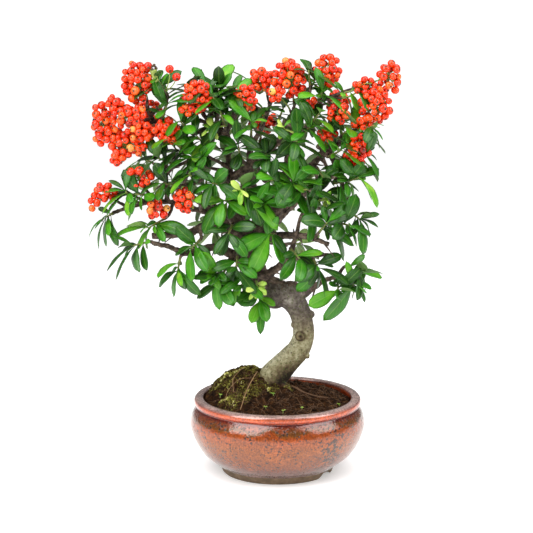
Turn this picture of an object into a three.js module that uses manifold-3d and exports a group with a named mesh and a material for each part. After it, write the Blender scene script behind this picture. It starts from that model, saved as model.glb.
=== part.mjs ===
// A narrowleaf firethorn bonsai in its round glazed pot, in millimetres, +Z up, its front towards -Y.
// Every place below is measured from the middle of the pot's foot. The finished tree is moved as a
// whole at the end, because its crown leans out over one side of the pot and the origin lies under
// the middle of the whole.
import * as THREE from "three";
import { mergeVertices } from "three/addons/utils/BufferGeometryUtils.js";
import Module from "manifold-3d";

const wasm = await Module();
wasm.setup();

// Driving dimensions of the pot
const potSides = 30;
const footRadius = 42.5;
const footRingWidth = 6.5;
const footRecess = 4;
const bellyRadius = 67.5;
const bellyLevel = 40;
const neckRadius = 62.5;
const neckLevel = 50.5;
const rimLevel = 58.5;
const rimInnerRadius = 57.3;
const drainRadius = 6;
const floorLevel = 10;
const notchWidth = 17;
const notchTurns = [-28, 152];

// Driving dimensions of what the pot holds
const clearance = 0.35;
const soilWallLevel = 52.5;
const trunkFootLevel = 30;
const leafThickness = 0.8;
const leafLength = 30;
const leafWidthShare = 0.34;
const twigRadius = 1.15;
const spurRadius = 1.6;
const stalkRadius = 0.9;
const pedicelRadius = 0.7;
const thornRadius = 0.9;
const berryRadius = 3.6;
const crownShift = [23.4, -10, 0];

// How many sides and steps the round stretches have
const trunkSides = 10;
const trunkSteps = 21;
const limbSides = 4;
const rootSteps = 3;
const stubSides = 6;
const twigSides = 3;

// Slivers left where stretches join are merged while no face moves by more than this.
const joinTolerance = 0.12;

const goldenTurn = THREE.MathUtils.degToRad(137.5);

const up = new THREE.Vector3(0, 0, 1);
const point = (place) => new THREE.Vector3(...place);

// A seeded draw: the same numbers come out in the same order on every run.
function makeDraw(seed) {
  let state = seed;
  return () => {
    state = (state * 1664525 + 1013904223) % 4294967296;
    return state / 4294967296;
  };
}

// Joining and cutting

function signedVolume(position, index) {
  const corners = [new THREE.Vector3(), new THREE.Vector3(), new THREE.Vector3()];
  let sum = 0;
  for (let i = 0; i < index.length; i += 3) {
    corners.forEach((corner, k) => corner.fromBufferAttribute(position, index[i + k]));
    sum += corners[0].dot(corners[1].clone().cross(corners[2]));
  }
  return sum / 6;
}

// A closed geometry as a solid, with its faces pointing out.
function solid(geometry) {
  const bare = geometry.clone();
  bare.deleteAttribute("normal");
  bare.deleteAttribute("uv");
  const merged = mergeVertices(bare, 1e-4);
  const found = Array.from(merged.index.array);
  const index = [];
  for (let i = 0; i < found.length; i += 3) {
    const [a, b, c] = found.slice(i, i + 3);
    if (a !== b && b !== c && c !== a) index.push(a, b, c);
  }
  if (signedVolume(merged.attributes.position, index) < 0) index.reverse();
  return new wasm.Manifold(new wasm.Mesh({
    numProp: 3,
    vertProperties: new Float32Array(merged.attributes.position.array),
    triVerts: new Uint32Array(index),
  }));
}

function geometryOf(body) {
  const mesh = body.simplify(joinTolerance).getMesh();
  const geometry = new THREE.BufferGeometry();
  geometry.setAttribute("position", new THREE.BufferAttribute(mesh.vertProperties, 3));
  geometry.setIndex(new THREE.BufferAttribute(mesh.triVerts, 1));
  return geometry;
}

// Joins solids into the one body that they make. Scraps and sealed hollows are left out.
function fuse(bodies) {
  const joined = bodies.reduce((sum, body) => sum.add(body));
  const pieces = joined.decompose();
  return pieces.reduce((best, piece) => (piece.volume() > best.volume() ? piece : best));
}

function boxesMeet(one, other) {
  const a = one.boundingBox();
  const b = other.boundingBox();
  return [0, 1, 2].every((k) => a.min[k] <= b.max[k] && b.min[k] <= a.max[k]);
}

const meets = (one, other) => boxesMeet(one, other) && one.intersect(other).volume() > 0;

// Shapes

// A tube of changing radius along a curve: an open cylinder bent onto it, with a flat cap at each end.
function tube(curve, radiusAt, sides, steps) {
  const geometry = new THREE.CylinderGeometry(1, 1, 1, sides, steps, true);
  const frames = curve.computeFrenetFrames(steps);
  const position = geometry.attributes.position;
  for (let i = 0; i < position.count; i += 1) {
    const step = Math.round((0.5 - position.getY(i)) * steps);
    const along = step / steps;
    const radius = radiusAt(along);
    const place = curve.getPoint(along)
      .addScaledVector(frames.normals[step], position.getX(i) * radius)
      .addScaledVector(frames.binormals[step], position.getZ(i) * radius);
    position.setXYZ(i, place.x, place.y, place.z);
  }
  const index = Array.from(geometry.index.array);
  const last = steps * (sides + 1);
  for (let k = 1; k < sides - 1; k += 1) {
    index.push(0, k, k + 1);
    index.push(last, last + k + 1, last + k);
  }
  geometry.setIndex(index);
  return solid(geometry);
}

// A radius that runs evenly through a list of radii.
const radiusThrough = (radii) => (along) => {
  const reach = along * (radii.length - 1);
  const low = Math.min(Math.floor(reach), radii.length - 2);
  return THREE.MathUtils.lerp(radii[low], radii[low + 1], reach - low);
};

function bump([x, y, z], radius) {
  const detail = radius > 5 ? 1 : 0;
  return solid(new THREE.IcosahedronGeometry(radius, detail).translate(x, y, z));
}

// A thorn: a three-sided spike with its root sunk in the wood.
function thorn(root, tip) {
  const line = new THREE.LineCurve3(point(root), point(tip));
  return tube(line, (along) => thornRadius * (1 - 0.85 * along), twigSides, 1);
}

// A leaf from its stalk to its tip: pointed at the stalk, widest past the middle and arched along its
// length. Upper and lower face are split into triangles alike.
const leafStations = [{ along: 0.34, share: 0.82 }, { along: 0.76, share: 0.94 }];

function leaf({ base, tip, width, bulge, face, thickness }) {
  const run = tip.clone().sub(base);
  const side = run.clone().cross(face).normalize();
  const lift = side.clone().cross(run).normalize();
  const place = (along, across, layer) => base.clone()
    .addScaledVector(run, along)
    .addScaledVector(side, across * width * 0.5)
    .addScaledVector(lift, bulge * 4 * along * (1 - along) + layer * thickness);
  const corners = [];
  for (const layer of [0.5, -0.5]) {
    for (const { along, share } of leafStations) {
      corners.push(place(along, -share, layer), place(along, share, layer));
    }
    corners.push(place(1, 0, layer));
  }
  const lower = corners.length / 2;
  const stalk = corners.length;
  corners.push(place(0, 0, 0));
  const index = [];
  for (const [a, b, c] of [[0, 2, 1], [1, 2, 3], [2, 4, 3]]) {
    index.push(a, b, c);
    index.push(a + lower, c + lower, b + lower);
  }
  for (const [from, to] of [[0, 2], [2, 4], [4, 3], [3, 1]]) {
    index.push(from, from + lower, to + lower);
    index.push(from, to + lower, to);
  }
  const mouth = [0, 1, 1 + lower, lower];
  mouth.forEach((from, k) => index.push(stalk, from, mouth[(k + 1) % mouth.length]));
  const geometry = new THREE.BufferGeometry().setFromPoints(corners);
  geometry.setIndex(index);
  return solid(geometry);
}

// The pot: a turned ring profile from the drain hole out over the foot, belly and rim, and back in

const wallInside = [[61, 38.5], [56, 20], [45, floorLevel]];

function potProfile() {
  const foot = [
    [drainRadius, footRecess],
    [footRadius - footRingWidth - 1, footRecess],
    [footRadius - footRingWidth, 0],
    [footRadius, 0],
    [45.2, 6],
  ];
  const belly = [[57.5, 15.5], [64, 26], [67, 34.5], [bellyRadius, bellyLevel], [66.4, 45.5]];
  const rim = [
    [neckRadius, neckLevel],
    [64.4, 53.2],
    [64.2, 56.6],
    [62.3, rimLevel],
    [rimInnerRadius, rimLevel],
  ];
  const inside = [...wallInside, [drainRadius, floorLevel]];
  const all = [...foot, ...belly, ...rim, ...inside];
  return [...all, all[0]].map(([radius, level]) => new THREE.Vector2(radius, level));
}

function makePot() {
  const turned = new THREE.LatheGeometry(potProfile(), potSides).rotateX(Math.PI / 2);
  let body = solid(turned);
  for (const turn of notchTurns) {
    const notch = new THREE.BoxGeometry(footRingWidth * 4, notchWidth, footRecess * 2)
      .translate(footRadius, 0, 0)
      .rotateZ(THREE.MathUtils.degToRad(turn));
    body = body.subtract(solid(notch));
  }
  return body;
}

// The soil: it fills the pot a little below the rim and is heaped up to the left of the trunk

const heapHeight = 13;
const mound = { x: -29.5, y: 8, width: 22, depth: 19, height: 16.5 };
const footSwell = { x: -3, y: -10, width: 17, height: 5 };

function soilLevel(x, y) {
  const reach = Math.hypot(x, y);
  const heaped = Math.exp(-(((x - mound.x) / mound.width) ** 4) - ((y - mound.y) / mound.depth) ** 4);
  const middle = heapHeight * Math.cos((reach / rimInnerRadius) * Math.PI * 0.48);
  const crumbs = 0.9 * Math.sin(x * 0.45 + 1.3) * Math.cos(y * 0.5);
  const waves = 0.6 * Math.sin(x * 0.21 - y * 0.37);
  const nearFoot = Math.hypot(x - footSwell.x, y - footSwell.y) / footSwell.width;
  const swell = footSwell.height * Math.exp(-(nearFoot ** 2));
  return soilWallLevel + middle + heaped * mound.height + swell + crumbs + waves;
}

function makeSoil() {
  const wall = [...wallInside.toReversed(), [58.2, soilWallLevel]]
    .map(([radius, level]) => [radius - clearance, Math.max(level, floorLevel + clearance)]);
  const top = [53, 46, 38, 30, 21, 12, 0].map((radius) => [radius, soilWallLevel + 1]);
  const profile = [[0, floorLevel + clearance], ...wall, ...top];
  const geometry = new THREE.LatheGeometry(profile.map((pair) => new THREE.Vector2(...pair)), potSides)
    .rotateX(Math.PI / 2);
  const position = geometry.attributes.position;
  for (let i = 0; i < position.count; i += 1) {
    if (position.getZ(i) > soilWallLevel + 0.5) {
      position.setZ(i, soilLevel(position.getX(i), position.getY(i)));
    }
  }
  return solid(geometry);
}

// The wood: trunk, limbs, roots, spurs and thorns, grown together as one piece

const trunk = {
  path: [[-13, 1, trunkFootLevel], [-12, 0, 46], [-9, 0, 59], [-4, 0, 72], [7, 0, 85], [16, 0, 95],
    [20, 0, 106], [19, 0, 117], [16, 0, 127], [9, 1, 136], [-1, 2, 141], [-12, 3, 147], [-19, 3, 156],
    [-22, 3, 167], [-22, 2, 178]],
  radii: [12, 13, 13, 11.5, 9.6, 8.8, 8.2, 8.1, 8.4, 9.6, 9, 8.6, 9, 9.5, 8],
};

const limbs = {
  leftLow: { path: [[-24, 2, 163], [-47, -8, 176], [-67, -16, 173], [-82, -20, 179], [-94, -22, 182]],
    radii: [3.4, 1.4] },
  leftMid: { path: [[-25, 0, 180], [-37, -4, 189], [-55, -10, 192], [-68, -14, 188], [-94, -20, 187]],
    radii: [4, 2.4] },
  leftUp: { path: [[-26, 4, 186], [-38, 6, 199], [-61, 4, 203], [-85, 0, 210], [-110, -6, 207],
    [-125, -10, 202]],
    radii: [4.4, 3.2, 2.4, 1.8, 1.4, 1] },
  leftRise: { path: [[-83, 0, 209], [-84, 0, 221], [-86, 4, 252], [-91, 4, 268], [-101, 0, 281]],
    radii: [2.2, 1.1] },
  centre: { path: [[-22, 2, 176], [-30, 8, 198], [-35, 10, 217], [-37, 12, 240], [-39, 14, 260],
    [-59, 8, 271]],
    radii: [6.2, 4.6, 3.2, 2.4, 2, 1.3] },
  centreFork: { path: [[-36, 10, 226], [-16, 2, 240], [2, -8, 259], [5, -12, 273]], radii: [3.2, 1.4] },
  upMid: { path: [[-20, 4, 174], [-15, 20, 196], [-19, 28, 218], [-21, 30, 245], [-12, 30, 262],
    [-2, 22, 292]],
    radii: [4.8, 3.8, 2.9, 2.2, 1.7, 1.2] },
  rightUp: { path: [[-20, 2, 174], [-7, 4, 190], [2, 8, 210], [8, 10, 236], [11, 10, 258], [17, 6, 276],
    [35, 0, 287], [43, -3, 291]],
    radii: [5.6, 5, 4.3, 3.5, 2.6, 2, 1.5, 1.1] },
  right: { path: [[1, 8, 208], [17, 4, 226], [30, -2, 242], [50, -8, 258], [63, -10, 272]],
    radii: [3.2, 1.4] },
  rightMid: { path: [[-18, 2, 182], [5, -12, 186], [20, -20, 187], [38, -28, 182]], radii: [3.6, 1.4] },
  rightLowMid: { path: [[-16, 0, 150], [-4, -10, 158], [8, -16, 169], [11, -18, 178], [15, -20, 192]],
    radii: [3.6, 1.5] },
  rightLowTwig: { path: [[7, -16, 168], [24, -20, 172], [41, -22, 173]], radii: [2, 1.2] },
  rightLow: { path: [[14, -2, 134], [27, -12, 146], [36, -18, 153], [45, -22, 155], [56, -26, 148]],
    radii: [2.8, 1.2] },
  droop: { path: [[38, -5, 249], [46, -9, 232], [52, -16, 214], [55, -18, 206]], radii: [2, 1.2] },
  backLeft: { path: [[-22, 3, 172], [-40, 20, 190], [-62, 35, 205], [-84, 43, 216]], radii: [4, 1.4] },
  backRight: { path: [[-18, 4, 174], [4, 24, 196], [26, 37, 214], [50, 43, 226]], radii: [4, 1.4] },
  backMid: { path: [[-22, 4, 176], [-26, 28, 205], [-20, 46, 228], [-14, 53, 246]], radii: [4, 1.4] },
  backLow: { path: [[-20, 6, 160], [-18, 28, 168], [-8, 45, 170], [8, 53, 166]], radii: [3, 1.2] },
};

const roots = [
  { path: [[-6, -2, 68], [7, -7, 66], [16, -12, 60], [22, -17, 55]], radii: [5, 1.6] },
  { path: [[-6, 6, 64], [2, 18, 60], [8, 30, 54]], radii: [5, 1.8] },
];

const bumps = [
  { at: [10, -1, 138], radius: 10.5 },
  { at: [-2, -1, 137.5], radius: 10 },
  { at: [17, -5.5, 107], radius: 3.6 },
  { at: [25.5, -2, 123], radius: 3 },
  { at: [12, -3, 115], radius: 2.1 },
  { at: [-19, 0, 170], radius: 10.5 },
];

const stubs = [
  { from: [14, -2, 92], to: [24.5, -5, 90.5], radii: [3, 2] },
  { from: [-20, -4, 158], to: [-24, -15, 161], radii: [4, 3] },
  { from: [-36, 10, 234], to: [-42, 4, 238], radii: [2.6, 2] },
];

const thorns = [
  [[34, -27, 183.5], [43, -32, 172]],
  [[20, -20, 187], [24, -31, 194]],
  [[30, -2, 242], [27, -15, 239]],
  [[-47, -8, 176], [-50, -21, 170]],
  [[-86, 4, 252], [-97, 0, 247]],
  [[8, 10, 236], [18, 5, 245]],
  [[-38, 13, 248], [-50, 8, 250]],
  [[45, -22, 155], [51, -18, 164]],
];

const limbCurve = (path) => new THREE.CatmullRomCurve3(path.map(point), false, "catmullrom", 0.5);
const curves = Object.fromEntries(
  Object.entries({ trunk, ...limbs }).map(([name, { path }]) => [name, limbCurve(path)]),
);

// The place on a limb that a spur to a given point leaves from: a little before the nearest one.
function spurRoot(curve, at) {
  const samples = 40;
  let nearest = 0;
  for (let i = 1; i <= samples; i += 1) {
    const found = curve.getPoint(i / samples).distanceTo(at);
    if (found < curve.getPoint(nearest / samples).distanceTo(at)) nearest = i;
  }
  return curve.getPoint(Math.max(nearest - 3, 0) / samples);
}

// A shoot's own frame: where it leaves its limb, where the wood ends, and its heading there.
function shootFrame({ limb, at, toward }) {
  const seat = point(at);
  const root = spurRoot(curves[limb], seat);
  const heading = toward ? point(toward).normalize() : seat.clone().sub(root).normalize();
  return { seat, root, heading };
}

function spur(row) {
  const { seat, root, heading } = shootFrame(row);
  const reach = seat.distanceTo(root);
  const curve = new THREE.CubicBezierCurve3(
    root,
    root.clone().lerp(seat, 0.3),
    seat.clone().addScaledVector(heading, -0.35 * reach),
    seat,
  );
  const endRadius = row.berries ? stalkRadius : twigRadius;
  const radiusAt = (along) => THREE.MathUtils.lerp(spurRadius, endRadius, along);
  return tube(curve, radiusAt, twigSides, row.toward ? 2 : 1);
}

// Leafy sprays. Each has a twig of length run that goes on from its spur, tips for the leaves that
// stand out, each with its width, and further leaves round the twig by rule.

const sprays = [
  { name: "left_low_tip", limb: "leftLow", at: [-97, -23, 183], toward: [-1, -0.3, -0.2], run: 12, leaves: 2,
    tips: [[-128, -26, 161, 7], [-121, -29, 155, 7], [-103, -29, 161, 14]] },
  { name: "left_low", limb: "leftLow", at: [-73, -22, 171], toward: [-0.2, -0.3, -1], run: 10, leaves: 3,
    tips: [[-78, -24, 141, 8], [-69, -25, 147, 9]] },
  { name: "trunk_left", limb: "leftLow", at: [-42, -18, 162], toward: [-0.5, -0.7, -0.5], run: 9, leaves: 3,
    tips: [[-58, -34, 178, 13], [-60, -30, 156, 12]] },
  { name: "left_up_mid", limb: "leftUp", at: [-85, -14, 199], toward: [-0.8, -0.4, -0.4], run: 14,
    leaves: 3, tips: [[-122, -20, 186, 10], [-104, -26, 178, 11], [-66, -28, 190, 11]] },
  { name: "left_up_tip", limb: "leftUp", at: [-124, -12, 203], toward: [-0.7, -0.5, -0.4], run: 6,
    leaves: 1, tips: [[-134, -20, 177, 7], [-137, -18, 192, 6], [-119, -24, 180, 9]] },
  { name: "left_up_under", limb: "leftUp", at: [-110, -14, 214], toward: [-0.3, -0.5, 0.6], run: 10,
    leaves: 2, tips: [[-129, -20, 220, 8], [-131, -22, 204, 9]] },
  { name: "left_front", limb: "leftUp", at: [-37, -18, 213], toward: [-0.3, -0.9, 0.2], run: 10,
    leaves: 3, tips: [[-55, -32, 190, 13], [-63, -28, 215, 10]] },
  { name: "left_up_back", limb: "leftUp", at: [-76, 24, 216], toward: [-0.4, 0.8, 0.4], run: 14, leaves: 5,
    tips: [] },
  { name: "centre_left", limb: "centre", at: [-54, -4, 246], toward: [-0.7, -0.5, 0.5], run: 12,
    leaves: 4, tips: [[-78, -10, 240, 11], [-60, -26, 227, 10]] },
  { name: "rise_top", limb: "leftRise", at: [-86, -3, 274], toward: [0.3, -0.4, 0.9], run: 12, leaves: 4,
    tips: [[-66, -8, 292, 10], [-92, -6, 303, 8]] },
  { name: "centre_top", limb: "centre", at: [-63, 16, 274], toward: [0, 0.1, 1], run: 16,
    leaves: 4, tips: [[-57, 10, 309, 8]] },
  { name: "centre_tip", limb: "centre", at: [-46, 6, 285], toward: [0.3, -0.3, 1], run: 12,
    leaves: 4, tips: [[-30, -12, 277, 9], [-44, -6, 313, 9], [-34, -4, 307, 7]] },
  { name: "mid_top_back", limb: "upMid", at: [-24, 42, 271], toward: [-0.4, 0.7, 0.6], run: 12, leaves: 5,
    tips: [] },
  { name: "top_right", limb: "rightUp", at: [24, -6, 299], toward: [-0.1, -0.4, 1], run: 12,
    leaves: 0, tips: [[45, -16, 296, 10], [18, 4, 317, 9]] },
  { name: "right_up_back", limb: "rightUp", at: [20, 32, 262], toward: [0.3, 0.8, 0.3], run: 12, leaves: 5,
    tips: [] },
  { name: "right_up_tip", limb: "rightUp", at: [47, -5, 292], toward: [1, -0.3, 0.3], run: 12,
    leaves: 2, tips: [[70, -14, 301, 9]] },
  { name: "right_tip", limb: "right", at: [66, -11, 272], toward: [0.3, -0.5, -0.3], run: 7,
    leaves: 2, tips: [[78, -18, 259, 7]] },
  { name: "right_droop", limb: "droop", at: [52, -17, 228], toward: [0.6, -0.6, 0.3], run: 12,
    leaves: 1, tips: [[70, -20, 214, 8], [66, -18, 240, 8], [46, -26, 246, 10]] },
  { name: "right_droop_tip", limb: "droop", at: [57, -19, 203], toward: [0.7, -0.4, -0.5], run: 6,
    leaves: 1, tips: [[76, -22, 204, 8], [75, -24, 194, 8], [64, -28, 186, 8], [52, -27, 187, 7]] },
  { name: "right_inner", limb: "right", at: [30, -14, 237], toward: [0.3, -0.8, -0.4], run: 12, leaves: 4,
    tips: [[46, -24, 239, 12]] },
  { name: "right_mid", limb: "rightMid", at: [31, -30, 192], toward: [0.4, -0.5, 0.6], run: 12, leaves: 4,
    tips: [[49, -31, 170, 11], [52, -30, 205, 10]] },
  { name: "back_low", limb: "backLow", at: [11, 57, 167], toward: [0.6, 0.5, -0.1], run: 10, leaves: 5,
    tips: [] },
  { name: "front_mid", limb: "rightMid", at: [-3, -22, 189], toward: [-0.3, -0.8, 0.2], run: 9,
    leaves: 2, tips: [[-20, -32, 161, 13], [4, -34, 168, 9]] },
  { name: "front_up", limb: "rightUp", at: [10, -16, 222], toward: [0.1, -0.8, 0.5], run: 12, leaves: 4,
    tips: [[12, -20, 251, 10], [20, -28, 221, 12]] },
  { name: "fork_mid", limb: "centreFork", at: [-24, -18, 224], toward: [0, -1, -0.2], run: 9,
    leaves: 3, tips: [[-12, -36, 197, 13], [7, -34, 222, 11], [0, -37, 194, 11]] },
  { name: "right_low_twig", limb: "rightLowTwig", at: [27, -26, 170], toward: [0.3, -0.6, -0.5], run: 8,
    leaves: 2, tips: [[14, -31, 147, 11], [37, -31, 138, 8], [48, -30, 174, 9]] },
  { name: "right_low_tip", limb: "rightLow", at: [56, -27, 150], toward: [0, -0.6, 0.4], run: 6,
    leaves: 1, tips: [[34, -33, 125, 14], [70, -34, 149, 9], [65, -34, 139, 8]] },
  { name: "right_low", limb: "rightLow", at: [45, -28, 152], toward: [0, -0.6, -0.4], run: 6,
    leaves: 1, tips: [[23, -32, 136, 11], [46, -36, 141, 12], [62, -36, 166, 9]] },
  { name: "trunk_front", limb: "trunk", at: [-15, -18, 146], toward: [0.15, -0.4, -0.9], run: 9,
    leaves: 0, tips: [[-20, -28, 122, 9], [-13, -27, 113, 7], [-8, -29, 123, 10], [-31, -30, 139, 13]] },
  { name: "back_left_tip", limb: "backLeft", at: [-88, 45, 219], toward: [-0.7, 0.4, 0.4],
    run: 12, leaves: 5,
    tips: [] },
  { name: "back_left", limb: "backLeft", at: [-56, 45, 213], toward: [0.1, 0.7, 0.7], run: 12, leaves: 5,
    tips: [] },
  { name: "back_mid", limb: "backMid", at: [-20, 60, 230], toward: [-0.2, 0.9, 0.2], run: 10, leaves: 5,
    tips: [] },
  { name: "back_right_tip", limb: "backRight", at: [54, 44, 229], toward: [0.8, 0.4, 0.4],
    run: 12, leaves: 5,
    tips: [] },
  { name: "back_right", limb: "backRight", at: [22, 50, 214], toward: [-0.1, 0.8, 0.4], run: 12, leaves: 5,
    tips: [] },
];

// Every leaf of a spray, as the places and sizes that a leaf needs.
function sprayLeaves(row, number) {
  const draw = makeDraw(number * 7919 + 11);
  const { seat, heading } = shootFrame(row);
  const side = heading.clone().cross(up).normalize();
  const over = side.clone().cross(heading).normalize();
  const onTwig = (along) => seat.clone().addScaledVector(heading, clearance + row.run * along);
  const found = row.tips.map(([x, y, z, width], k) => {
    const base = onTwig(0.95 - 0.5 * (k / row.tips.length));
    const tip = point([x, y, z]);
    return { base, tip, width, bulge: base.distanceTo(tip) * (0.06 + 0.08 * draw()) };
  });
  for (let i = 0; i < row.leaves; i += 1) {
    const along = 0.2 + 0.78 * ((i + 1) / row.leaves);
    const turn = i * goldenTurn + 0.7 * draw() + number;
    const spread = THREE.MathUtils.degToRad(THREE.MathUtils.lerp(82, 42, along) + 20 * draw());
    const length = leafLength * (0.72 + 0.36 * draw());
    const width = length * leafWidthShare * (0.85 + 0.4 * draw());
    const hang = 0.35 * (0.4 + draw());
    const bulge = length * (0.05 + 0.1 * draw());
    const base = onTwig(along);
    const run = heading.clone().multiplyScalar(Math.cos(spread))
      .addScaledVector(side, Math.sin(spread) * Math.cos(turn))
      .addScaledVector(over, Math.sin(spread) * Math.sin(turn))
      .addScaledVector(up, -hang)
      .normalize();
    found.push({ base, tip: base.clone().addScaledVector(run, length), width, bulge });
  }
  return found.map((one) => ({ ...one, face: leafFace(one), thickness: leafThickness }));
}

// Leaves turn their upper face up and away from the middle of the crown.
const crownMiddle = new THREE.Vector3(-24, 6, 225);

function leafFace({ base, tip }) {
  const away = base.clone().lerp(tip, 0.5).sub(crownMiddle).normalize();
  return up.clone().addScaledVector(away, 0.9);
}

function turned(shape, angle, axis) {
  const run = shape.tip.clone().sub(shape.base).applyAxisAngle(axis, angle);
  return { ...shape, tip: shape.base.clone().add(run) };
}

// The bends that a leaf tries, one after the other, to stand clear of its neighbours.
const bends = [{ angle: 0, turn: 0 }];
for (const angle of [12, 24, 36, 50]) {
  for (const turn of [0, 90, 180, 270]) bends.push({ angle, turn });
}

const clearOf = (body, others) => others.every((other) => !meets(body, other));

function placeLeaf(shape, others) {
  const run = shape.tip.clone().sub(shape.base).normalize();
  const level = run.clone().cross(up).normalize();
  for (const { angle, turn } of bends) {
    const axis = level.clone().applyAxisAngle(run, THREE.MathUtils.degToRad(turn));
    const bent = turned(shape, THREE.MathUtils.degToRad(angle), axis);
    const grown = leaf({
      ...bent,
      width: bent.width + 2 * clearance,
      thickness: leafThickness + 2 * clearance,
    });
    if (clearOf(grown, others)) return leaf(bent);
  }
  return null;
}

function twig(row) {
  const { seat, heading } = shootFrame(row);
  const from = seat.clone().addScaledVector(heading, clearance);
  const line = new THREE.LineCurve3(from, from.clone().addScaledVector(heading, row.run));
  return tube(line, (along) => twigRadius * (1 - 0.35 * along), twigSides, 1);
}

function makeSpray(row, number, stem, others) {
  const blades = sprayLeaves(row, number).map((shape) => placeLeaf(shape, others)).filter(Boolean);
  return fuse([stem, ...blades]);
}

// Berry bunches. A tight bunch has berries sunk in a smaller core, a loose one has each on its stalk.

const bunches = [
  { name: "left_top", limb: "leftRise", at: [-98, 0, 289], middle: [-105, -4, 300],
    radii: [12.5, 10, 17],
    berries: 14 },
  { name: "left_side", limb: "leftRise", at: [-114, -4, 274], middle: [-132, -8, 270],
    radii: [8, 8, 18],
    berries: 13 },
  { name: "left_face", limb: "leftRise", at: [-102, -5, 271], middle: [-111, -12, 276],
    radii: [16, 9, 10],
    berries: 13 },
  { name: "left_back", limb: "leftRise", at: [-94, 12, 266], middle: [-97, 22, 275], radii: [11, 10, 11],
    berries: 9 },
  { name: "left_lower", limb: "leftRise", at: [-104, -3, 253], middle: [-112, -10, 255],
    radii: [15, 9, 11],
    berries: 12 },
  { name: "left_loose", limb: "leftUp", at: [-102, -10, 224], middle: [-104, -15, 231], radii: [13, 8, 9],
    berries: 8, loose: true },
  { name: "left_far_loose", limb: "leftUp", at: [-121, -11, 212], middle: [-129, -14, 219], radii: [9, 7, 9],
    berries: 6, loose: true },
  { name: "front_left", limb: "leftUp", at: [-70, -14, 209], middle: [-70, -25, 215], radii: [9, 8, 11],
    berries: 8 },
  { name: "front_left_loose", limb: "leftUp", at: [-90, -12, 210], middle: [-89, -25, 208],
    radii: [10, 7, 9],
    berries: 6, loose: true },
  { name: "centre_left", limb: "centre", at: [-57, -2, 277], middle: [-60, -11, 291], radii: [13, 9, 13],
    berries: 13 },
  { name: "mid_left", limb: "upMid", at: [-19, 6, 277], middle: [-24, -10, 289], radii: [9, 8, 12],
    berries: 9 },
  { name: "mid_top", limb: "upMid", at: [-8, 8, 290], middle: [-12, -2, 303], radii: [10, 9, 10],
    berries: 9 },
  { name: "top_large", limb: "rightUp", at: [12, 2, 286], middle: [8, -6, 303], radii: [14, 11, 16.5],
    berries: 16 },
  { name: "top_right", limb: "rightUp", at: [33, 0, 297], middle: [37, -2, 309], radii: [12, 9, 14],
    berries: 13 },
  { name: "right_over", limb: "rightUp", at: [41, -6, 284], middle: [45, -14, 279], radii: [10, 8, 9],
    berries: 8 },
  { name: "right_back", limb: "rightUp", at: [38, 13, 283], middle: [46, 25, 283], radii: [10, 10, 10],
    berries: 8 },
  { name: "right_low", limb: "right", at: [52, -12, 256], middle: [59, -16, 251], radii: [11, 8, 14],
    berries: 11 },
  { name: "right_side", limb: "right", at: [66, -6, 277], middle: [72, -14, 284], radii: [14, 9, 15],
    berries: 14 },
  { name: "right_far_loose", limb: "rightUp", at: [62, -4, 298], middle: [83, -9, 305], radii: [10, 8, 14],
    berries: 11, loose: true },
  { name: "back_mid", limb: "backMid", at: [-13, 57, 251], middle: [-12, 57, 264], radii: [12, 10, 11],
    berries: 10 },
  { name: "left_inner", limb: "leftRise", at: [-84, -5, 262], middle: [-82, -12, 266],
    radii: [11, 8, 11],
    berries: 9 },
];

function bunchBerries(row, number) {
  const draw = makeDraw(number * 6007 + 5);
  const middle = point(row.middle);
  const found = [];
  const tries = row.berries * 2;
  for (let i = 0; i < tries && found.length < row.berries; i += 1) {
    const level = 1 - (2 * (((i * 5) % tries) + 0.5)) / tries;
    const round = Math.sqrt(1 - level * level);
    const turn = i * goldenTurn + number;
    const radius = berryRadius * (0.92 + 0.2 * draw());
    const out = new THREE.Vector3(Math.cos(turn) * round, Math.sin(turn) * round, level);
    const reach = point(row.radii).subScalar(radius);
    const place = middle.clone().add(out.multiply(reach));
    const free = found.every((one) => one.place.distanceTo(place) > one.radius + radius);
    if (free) found.push({ place, radius });
  }
  return found;
}

function berry({ place, radius }, extra = 0) {
  return solid(new THREE.IcosahedronGeometry(radius + extra, 0).translate(...place));
}

function makeBunch(row, number, others) {
  const frame = shootFrame(row);
  const middle = point(row.middle);
  const from = frame.seat.clone().addScaledVector(frame.heading, clearance);
  const reach = from.distanceTo(middle);
  const stalk = new THREE.CubicBezierCurve3(
    from,
    from.clone().addScaledVector(frame.heading, reach * 0.3),
    from.clone().lerp(middle, 0.7),
    middle,
  );
  const core = point(row.radii).subScalar(berryRadius * 1.45);
  const fork = new THREE.Vector3(1, 1, 1).multiplyScalar(2 * stalkRadius);
  const size = row.loose ? fork : core;
  const parts = [
    tube(stalk, () => stalkRadius, twigSides, 2),
    solid(new THREE.IcosahedronGeometry(1, 0).scale(...size).translate(...middle)),
  ];
  for (const one of bunchBerries(row, number)) {
    if (!clearOf(berry(one, clearance), others)) continue;
    parts.push(berry(one));
    if (row.loose) {
      parts.push(tube(new THREE.LineCurve3(middle, one.place), () => pedicelRadius, twigSides, 1));
    }
  }
  return fuse(parts);
}

// The whole tree

const potGlaze = { color: "#a8552f", roughness: 0.25, metalness: 0 };
const potSoil = { color: "#2a1a10", roughness: 0.95, metalness: 0 };
const bark = { color: "#6f6a52", roughness: 0.85, metalness: 0 };
const leafGreen = { color: "#2f7a1e", roughness: 0.45, metalness: 0 };
const berryRed = { color: "#e8391c", roughness: 0.3, metalness: 0 };

const tree = new THREE.Group();

function addPiece(name, body, finish) {
  const mesh = new THREE.Mesh(geometryOf(body), new THREE.MeshStandardMaterial(finish));
  mesh.name = name;
  tree.add(mesh);
}

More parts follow.
